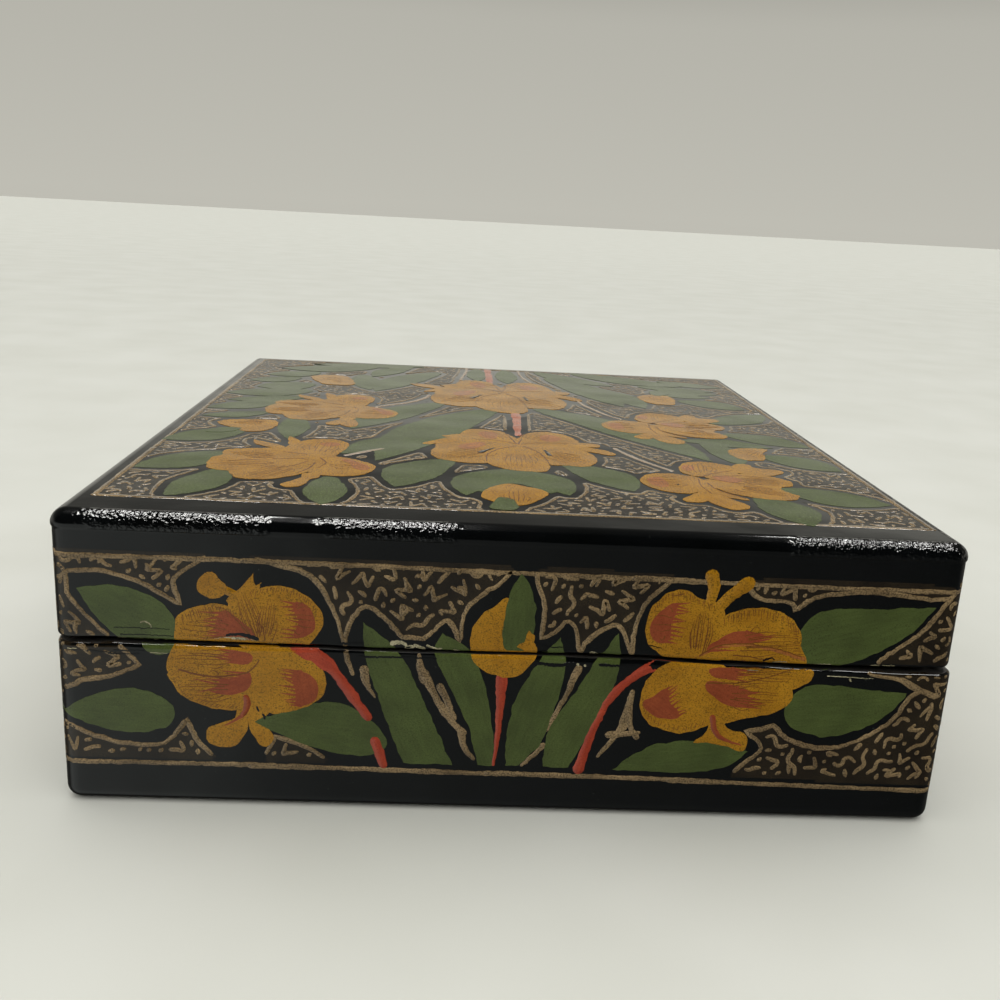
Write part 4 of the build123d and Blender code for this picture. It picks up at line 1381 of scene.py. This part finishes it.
class Shader:
    """Builds one node material, with distances in millimetres on the piece itself."""

    def __init__(self, name):
        self.material = bpy.data.materials.new(name)
        self.material.use_nodes = True
        self.tree = self.material.node_tree
        self.surface = self.tree.nodes["Principled BSDF"]
        place = self.node("ShaderNodeTexCoord").outputs["Object"]
        self.place = self.stretched(place, (1000, 1000, 1000))
        self.brush = self.node("ShaderNodeAttribute", attribute_name="brush").outputs["Vector"]

    def node(self, kind, inputs=None, **settings):
        return add_node(self.tree, kind, inputs, **settings)

    def stretched(self, vector, stretch):
        return self.node("ShaderNodeVectorMath", {0: vector, 1: stretch}, operation="MULTIPLY").outputs[0]

    def noise(self, scale, detail=2.0, stretch=None, vector=None):
        """Noise of about so many bumps per millimetre, stretched along an axis if asked."""
        vector = vector or self.place
        if stretch:
            vector = self.stretched(vector, stretch)
        inputs = {"Vector": vector, "Scale": scale, "Detail": detail}
        return self.node("ShaderNodeTexNoise", inputs).outputs["Fac"]

    def bump(self, height, distance):
        """A surface direction that follows heights, over a distance in metres."""
        inputs = {"Height": height, "Strength": 0.5, "Distance": distance}
        return self.node("ShaderNodeBump", inputs).outputs["Normal"]

    def ramp(self, value, low, high, start=0.0, end=1.0):
        """A value stretched from low..high to start..end, and kept within it."""
        return self.node("ShaderNodeMapRange", {"Value": value, "From Min": low, "From Max": high,
                                                "To Min": start, "To Max": end}).outputs[0]

    def mix(self, share, one, two):
        """Two colours mixed by a share."""
        one, two = ((*colour, 1) if isinstance(colour, tuple) else colour for colour in (one, two))
        return self.node("ShaderNodeMix", {0: share, 6: one, 7: two}, data_type="RGBA").outputs[2]

    def sum(self, one, two, kind="ADD"):
        return self.node("ShaderNodeMath", {0: one, 1: two}, operation=kind).outputs[0]

    def set(self, **values):
        for key, value in values.items():
            feed(self.tree, self.surface.inputs[key.replace("_", " ")], value)

    def wrinkled_edge(self):
        """1 where the lacquer dried in wrinkles on the rounded edge of the lid's top, 0 elsewhere."""
        parts = self.node("ShaderNodeSeparateXYZ", {0: self.place}).outputs
        above = self.ramp(parts["Z"], board_joint_z + 0.1, board_joint_z + 0.7)
        below = self.ramp(parts["Z"], skin_top_z - 0.1, skin_top_z - 0.01, 1.0, 0.0)
        ragged = self.sum(parts["X"], self.sum(self.noise(0.5, 2), 8.0, "MULTIPLY"))
        share = SMOOTH_SHARE
        for start, end in WRINKLED_STRETCHES:
            after = self.ramp(ragged, start + 3, start + 5)
            before = self.ramp(ragged, end + 3, end + 5, 1.0, 0.0)
            share = self.sum(share, self.sum(after, before, "MULTIPLY"), "MAXIMUM")
        return self.sum(self.sum(above, below, "MULTIPLY"), share, "MULTIPLY")

    def varnish(self, rough_edge=False):
        """The clear gloss coat over everything, uneven from brush ridges, dust and the board beneath."""
        ridges = self.noise(0.9, 3, (0.25, 0.25, 1.6))
        swell = self.noise(0.05, 1)
        height = self.sum(self.sum(ridges, RIDGES, "MULTIPLY"), self.sum(swell, SWELL, "MULTIPLY"))
        if rough_edge:
            wrinkles = self.noise(2.0, 1, (0.8, 1.0, 1.0))
            sag = self.sum(wrinkles, self.sum(self.wrinkled_edge(), EDGE_WRINKLES, "MULTIPLY"), "MULTIPLY")
            height = self.sum(height, sag)
        else:
            grit = self.ramp(self.noise(2.6, 2), 0.62, 0.74)
            height = self.sum(height, self.sum(grit, GRIT, "MULTIPLY"))
        normal = self.bump(height, 0.00012)
        self.set(Normal=normal, Coat_Normal=normal)
        self.set(Coat_Weight=1.0, Coat_Roughness=0.08, Coat_IOR=1.5, IOR=1.4, Specular_IOR_Level=0.0)
        return self.material


def linear(*rgb):
    """A screen colour, 0 to 255, as the linear colour that the shader takes."""
    return tuple(((c / 255 + 0.055) / 1.055) ** 2.4 if c > 10 else c / 3294.6 for c in rgb)


def plain_paint(name, dark, light, speck, speck_share, streak):
    """Hand-laid paint: streaks along the brush, soft mottling and fine dark specks where it is thin."""
    dark, light, speck = linear(*dark), linear(*light), linear(*speck)
    s = Shader(name)
    streaks = s.noise(1.0, 3, (0.25, 2.2, 40), s.brush)
    mottle = s.noise(0.16, 2)
    tone = s.sum(s.sum(streaks, streak, "MULTIPLY"), s.sum(mottle, 1 - streak, "MULTIPLY"))
    colour = s.mix(s.ramp(tone, 0.35, 0.65), dark, light)
    grain = s.ramp(s.noise(4.5, 1), 0.35, 0.75, 0.0, 0.45)
    colour = s.mix(grain, colour, speck)
    thin = s.ramp(s.noise(0.11, 2), 0.35, 0.65, 0.03, -0.03)
    specks = s.ramp(s.sum(s.noise(3.6, 2), thin), 0.62 - speck_share, 0.70 - speck_share)
    colour = s.mix(s.sum(specks, 0.7, "MULTIPLY"), colour, speck)
    s.set(Base_Color=colour, Roughness=0.45)
    return s.varnish()


# Paints: layer, name, dark, light and speck colours on the screen, share of specks, and how streaky
PAINTS = [
    ("ground", "brown_ground", (28, 21, 13), (42, 34, 22), (14, 11, 8), 0.08, 0.0),
    ("leaf", "leaf_green", (60, 70, 34), (74, 86, 43), (40, 47, 23), 0.01, 0.4),
    ("petal", "petal_ochre", (145, 99, 17), (168, 120, 26), (80, 60, 16), 0.07, 0.35),
    ("heart", "heart_red", (122, 56, 30), (142, 70, 38), (92, 44, 25), 0.01, 0.5),
    ("stem", "stem_red", (138, 49, 31), (160, 66, 44), (106, 38, 26), 0.0, 0.6),
    ("blush", "blush_brown", (140, 84, 34), (160, 102, 46), (92, 52, 25), 0.03, 0.4),
    ("pink", "stem_pink", (154, 94, 74), (170, 112, 90), (114, 62, 48), 0.0, 0.5),
    ("vine", "vine_beige", (142, 124, 104), (162, 146, 126), (100, 84, 70), 0.0, 0.5),
    ("hair", "hair_brown", (98, 58, 22), (114, 70, 28), (74, 43, 17), 0.0, 0.3),
    ("gold", "dull_gold", (98, 81, 57), (154, 131, 96), (46, 38, 26), 0.12, 0.5),
    ("gesso", "chipped_gesso", (126, 120, 92), (184, 177, 148), (78, 74, 50), 0.08, 0.1),
]


def make_materials():
    """Every finish of the box, by name."""
    made = {}
    s = Shader("black_lacquer")
    cloud = s.noise(0.12, 3)
    colour = s.mix(s.ramp(cloud, 0.3, 0.7), linear(3, 4, 4), linear(6, 7, 8))
    dust = s.ramp(s.noise(1.5, 2), 0.72, 0.78)
    colour = s.mix(s.sum(dust, 0.25, "MULTIPLY"), colour, linear(70, 75, 70))
    s.set(Base_Color=colour, Roughness=0.4)
    made["black"] = s.varnish(rough_edge=True)

    s = Shader("inner_black")
    strokes = s.noise(1.2, 3, (0.12, 0.12, 2.0))
    colour = s.mix(s.ramp(strokes, 0.35, 0.7), linear(24, 23, 22), linear(44, 41, 38))
    s.set(Base_Color=colour, Roughness=0.55, Normal=s.bump(strokes, 0.0001), Specular_IOR_Level=0.35)
    made["inner"] = s.material

    for layer, name, dark, light, speck, share, streak in PAINTS:
        made[layer] = plain_paint(name, dark, light, speck, share, streak)
    return made


# ---- Pieces, stage and camera ----

# What the pieces of each paint are called
LAYER_NAMES = {"ground": "brown_ground", "leaf": "leaves", "gold": "gold_lines", "squiggle": "gold_squiggles",
               "stem": "stems", "pink": "pink_stems", "vine": "thin_stems", "petal": "petals",
               "blush": "blushes", "heart": "red_hearts", "hair": "petal_hairs",
               "black": "dark_touches", "gesso": "chips"}


def make_coats(materials):
    """One piece for each paint on each body."""
    for (body, layer), made in coats.items():
        name = f"{body}_{LAYER_NAMES[layer]}"
        mesh = bpy.data.meshes.new(name)
        mesh.from_pydata((np.vstack(made.points) * MM).tolist(), [], made.faces)
        mesh.shade_smooth()
        mesh.set_sharp_from_angle(angle=math.radians(PAINT_SHARP))
        brush = mesh.attributes.new("brush", "FLOAT_VECTOR", "POINT")
        brush.data.foreach_set("vector", np.vstack(made.brush).astype(np.float32).ravel())
        mesh.materials.append(materials["gold" if layer == "squiggle" else layer])
        add_piece(name, mesh, body)


# Name, place, size and power of the ceiling's light panels, which the lid's front edge mirrors
PANEL_LAMPS = [("panel_left", (-0.30, 0.2, 1.0), (0.15, 0.9), 9.5),
               ("panel_middle", (-0.087, 0.2, 1.0), (0.12, 0.9), 8.0),
               ("panel_right", (0.483, 0.2, 1.0), (0.18, 0.9), 11.0)]
LAMP_COLOUR = (1.0, 0.99, 0.955)
# The ceiling's soft light: its strength, how many degrees wide it is, and where it comes from
CEILING_GLOW = 4.65
GLOW_WIDTH = 120
GLOW_FROM = (-0.05, -0.09, 1.0)
BOX_MIDDLE = (0, 0, 0.03)
# Half the floor's width
FLOOR_REACH = 8.0
# The room's brightness behind the box by height of view, from straight down to straight up
ROOM_BEHIND = [(-1.0, 0.02), (-0.3, 0.1), (-0.05, 0.5), (0.0, 0.52), (0.16, 0.46), (0.31, 0.15), (0.6, 0.08),
               (1.0, 0.04)]
# In front it is darker: how bright the tabletop is from left to right, and how that fades out above it
FRONT_TABLE = [(-0.45, 0.62), (-0.28, 0.5), (-0.12, 0.26), (0.05, 0.17), (0.25, 0.11), (0.5, 0.06)]
FRONT_FADE = [(-1.0, 1.0), (-0.1, 1.0), (0.1, 0.03), (1.0, 0.01)]
# Where the front gives way to what is behind, by the direction's depth
FRONT_BEGINS, FRONT_FULL = 0.1, -0.3
WARM, COOL, NEUTRAL = (1.0, 0.98, 0.87), (0.97, 1.02, 0.97), (1.0, 1.0, 1.0)


def make_stage():
    """Pale floor, soft light from above, and the room."""
    scene = bpy.context.scene
    scene.view_settings.view_transform = "Standard"
    mesh = bpy.data.meshes.new("studio_floor")
    corners = [(x * FLOOR_REACH, y * FLOOR_REACH, 0) for x, y in ((-1, -1), (1, -1), (1, 1), (-1, 1))]
    mesh.from_pydata(corners, [], [(0, 1, 2, 3)])
    s = Shader("floor_paper")
    colour = s.mix(s.ramp(s.noise(0.02, 2), 0.3, 0.7), linear(182, 183, 176), linear(188, 189, 183))
    s.set(Base_Color=colour, Roughness=0.7, Specular_IOR_Level=0.2)
    mesh.materials.append(s.material)
    studio_floor = bpy.data.objects.new("studio_floor", mesh)
    scene.collection.objects.link(studio_floor)
    studio_floor.visible_glossy = False

    make_room(scene)
    for name, place, size, power in PANEL_LAMPS:
        light = bpy.data.lights.new(name, "AREA")
        light.shape = "RECTANGLE"
        light.size, light.size_y = size
        light.energy = power
        hang(scene, light, place).visible_diffuse = False
    light = bpy.data.lights.new("ceiling_glow", "SUN")
    light.angle = math.radians(GLOW_WIDTH)
    light.energy = CEILING_GLOW
    glow = hang(scene, light, GLOW_FROM)
    glow.rotation_euler = (Vector(BOX_MIDDLE) - Vector(GLOW_FROM)).to_track_quat("-Z", "Y").to_euler()
    glow.visible_glossy = False


def hang(scene, light, place):
    """A lamp at a place, shining straight down."""
    light.color = LAMP_COLOUR
    lamp = bpy.data.objects.new(light.name, light)
    scene.collection.objects.link(lamp)
    lamp.location = place
    return lamp


def make_room(scene):
    """The room as a soft sky: a pale wall low behind the box, and the dim side that the viewer stands on."""
    world = bpy.data.worlds.new("soft_room")
    scene.world = world
    world.use_nodes = True
    tree = world.node_tree

    def by_direction(value, stops, tint):
        """A brightness that follows one part of the direction, from -1 to 1."""
        share = add_node(tree, "ShaderNodeMapRange", {"Value": value, "From Min": -1})
        ramp = add_node(tree, "ShaderNodeValToRGB", {0: share.outputs[0]})
        elements = ramp.color_ramp.elements
        while len(elements) < len(stops):
            elements.new(0.5)
        for element, (place, light) in zip(elements, stops):
            element.position = (place + 1) / 2
            element.color = (*(light * part for part in tint), 1)
        return ramp.outputs[0]

    direction = add_node(tree, "ShaderNodeTexCoord").outputs["Generated"]
    parts = add_node(tree, "ShaderNodeSeparateXYZ", {0: direction}).outputs
    behind = by_direction(parts["Z"], ROOM_BEHIND, WARM)
    table = by_direction(parts["X"], FRONT_TABLE, COOL)
    fade = by_direction(parts["Z"], FRONT_FADE, NEUTRAL)
    front = add_node(tree, "ShaderNodeMix", {0: 1.0, 6: table, 7: fade}, data_type="RGBA",
                     blend_type="MULTIPLY")
    in_front = add_node(tree, "ShaderNodeMapRange",
                        {"Value": parts["Y"], "From Min": FRONT_BEGINS, "From Max": FRONT_FULL})
    room = add_node(tree, "ShaderNodeMix", {0: in_front.outputs[0], 6: behind, 7: front.outputs[2]},
                    data_type="RGBA")
    tree.links.new(room.outputs[2], tree.nodes["Background"].inputs["Color"])


# The photograph's camera: place in metres, turns, and its lens's length as a share of the picture's width
CAMERA_PLACE = (-0.0120, -0.2524, 0.1017)
CAMERA_YAW, CAMERA_PITCH, CAMERA_ROLL = math.radians(-2.87), math.radians(15.39), math.radians(-3.11)
FOCAL_SHARE = 1.057
SENSOR_WIDTH = 36


def make_camera():
    """The photograph's view: close, a little left of the middle, looking down."""
    data = bpy.data.cameras.new("camera")
    data.sensor_width = SENSOR_WIDTH
    data.lens = SENSOR_WIDTH * FOCAL_SHARE
    data.clip_start = 0.01
    camera = bpy.data.objects.new("camera", data)
    turn = Matrix.Rotation(CAMERA_YAW, 3, "Z")
    forward = turn @ Vector((0, math.cos(CAMERA_PITCH), -math.sin(CAMERA_PITCH)))
    right = turn @ Vector((1, 0, 0))
    down = forward.cross(right)
    x_axis = right * math.cos(CAMERA_ROLL) + down * math.sin(CAMERA_ROLL)
    y_axis = right * math.sin(CAMERA_ROLL) - down * math.cos(CAMERA_ROLL)
    turned = Matrix((x_axis, y_axis, -forward)).transposed().to_4x4()
    camera.matrix_world = Matrix.Translation(CAMERA_PLACE) @ turned
    bpy.context.scene.collection.objects.link(camera)
    bpy.context.scene.camera = camera


# ---- The scene ----

materials = make_materials()
for skin in make_shells():
    skin.data.materials.append(materials["black"])
    skin.data.materials.append(materials["inner"])
for strip in ("lip_front_strip", "lip_back_strip", "lip_left_strip", "lip_right_strip"):
    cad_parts[strip].data.materials.clear()
    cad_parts[strip].data.materials.append(materials["inner"])
paint_everything()
make_coats(materials)
make_stage()
make_camera()
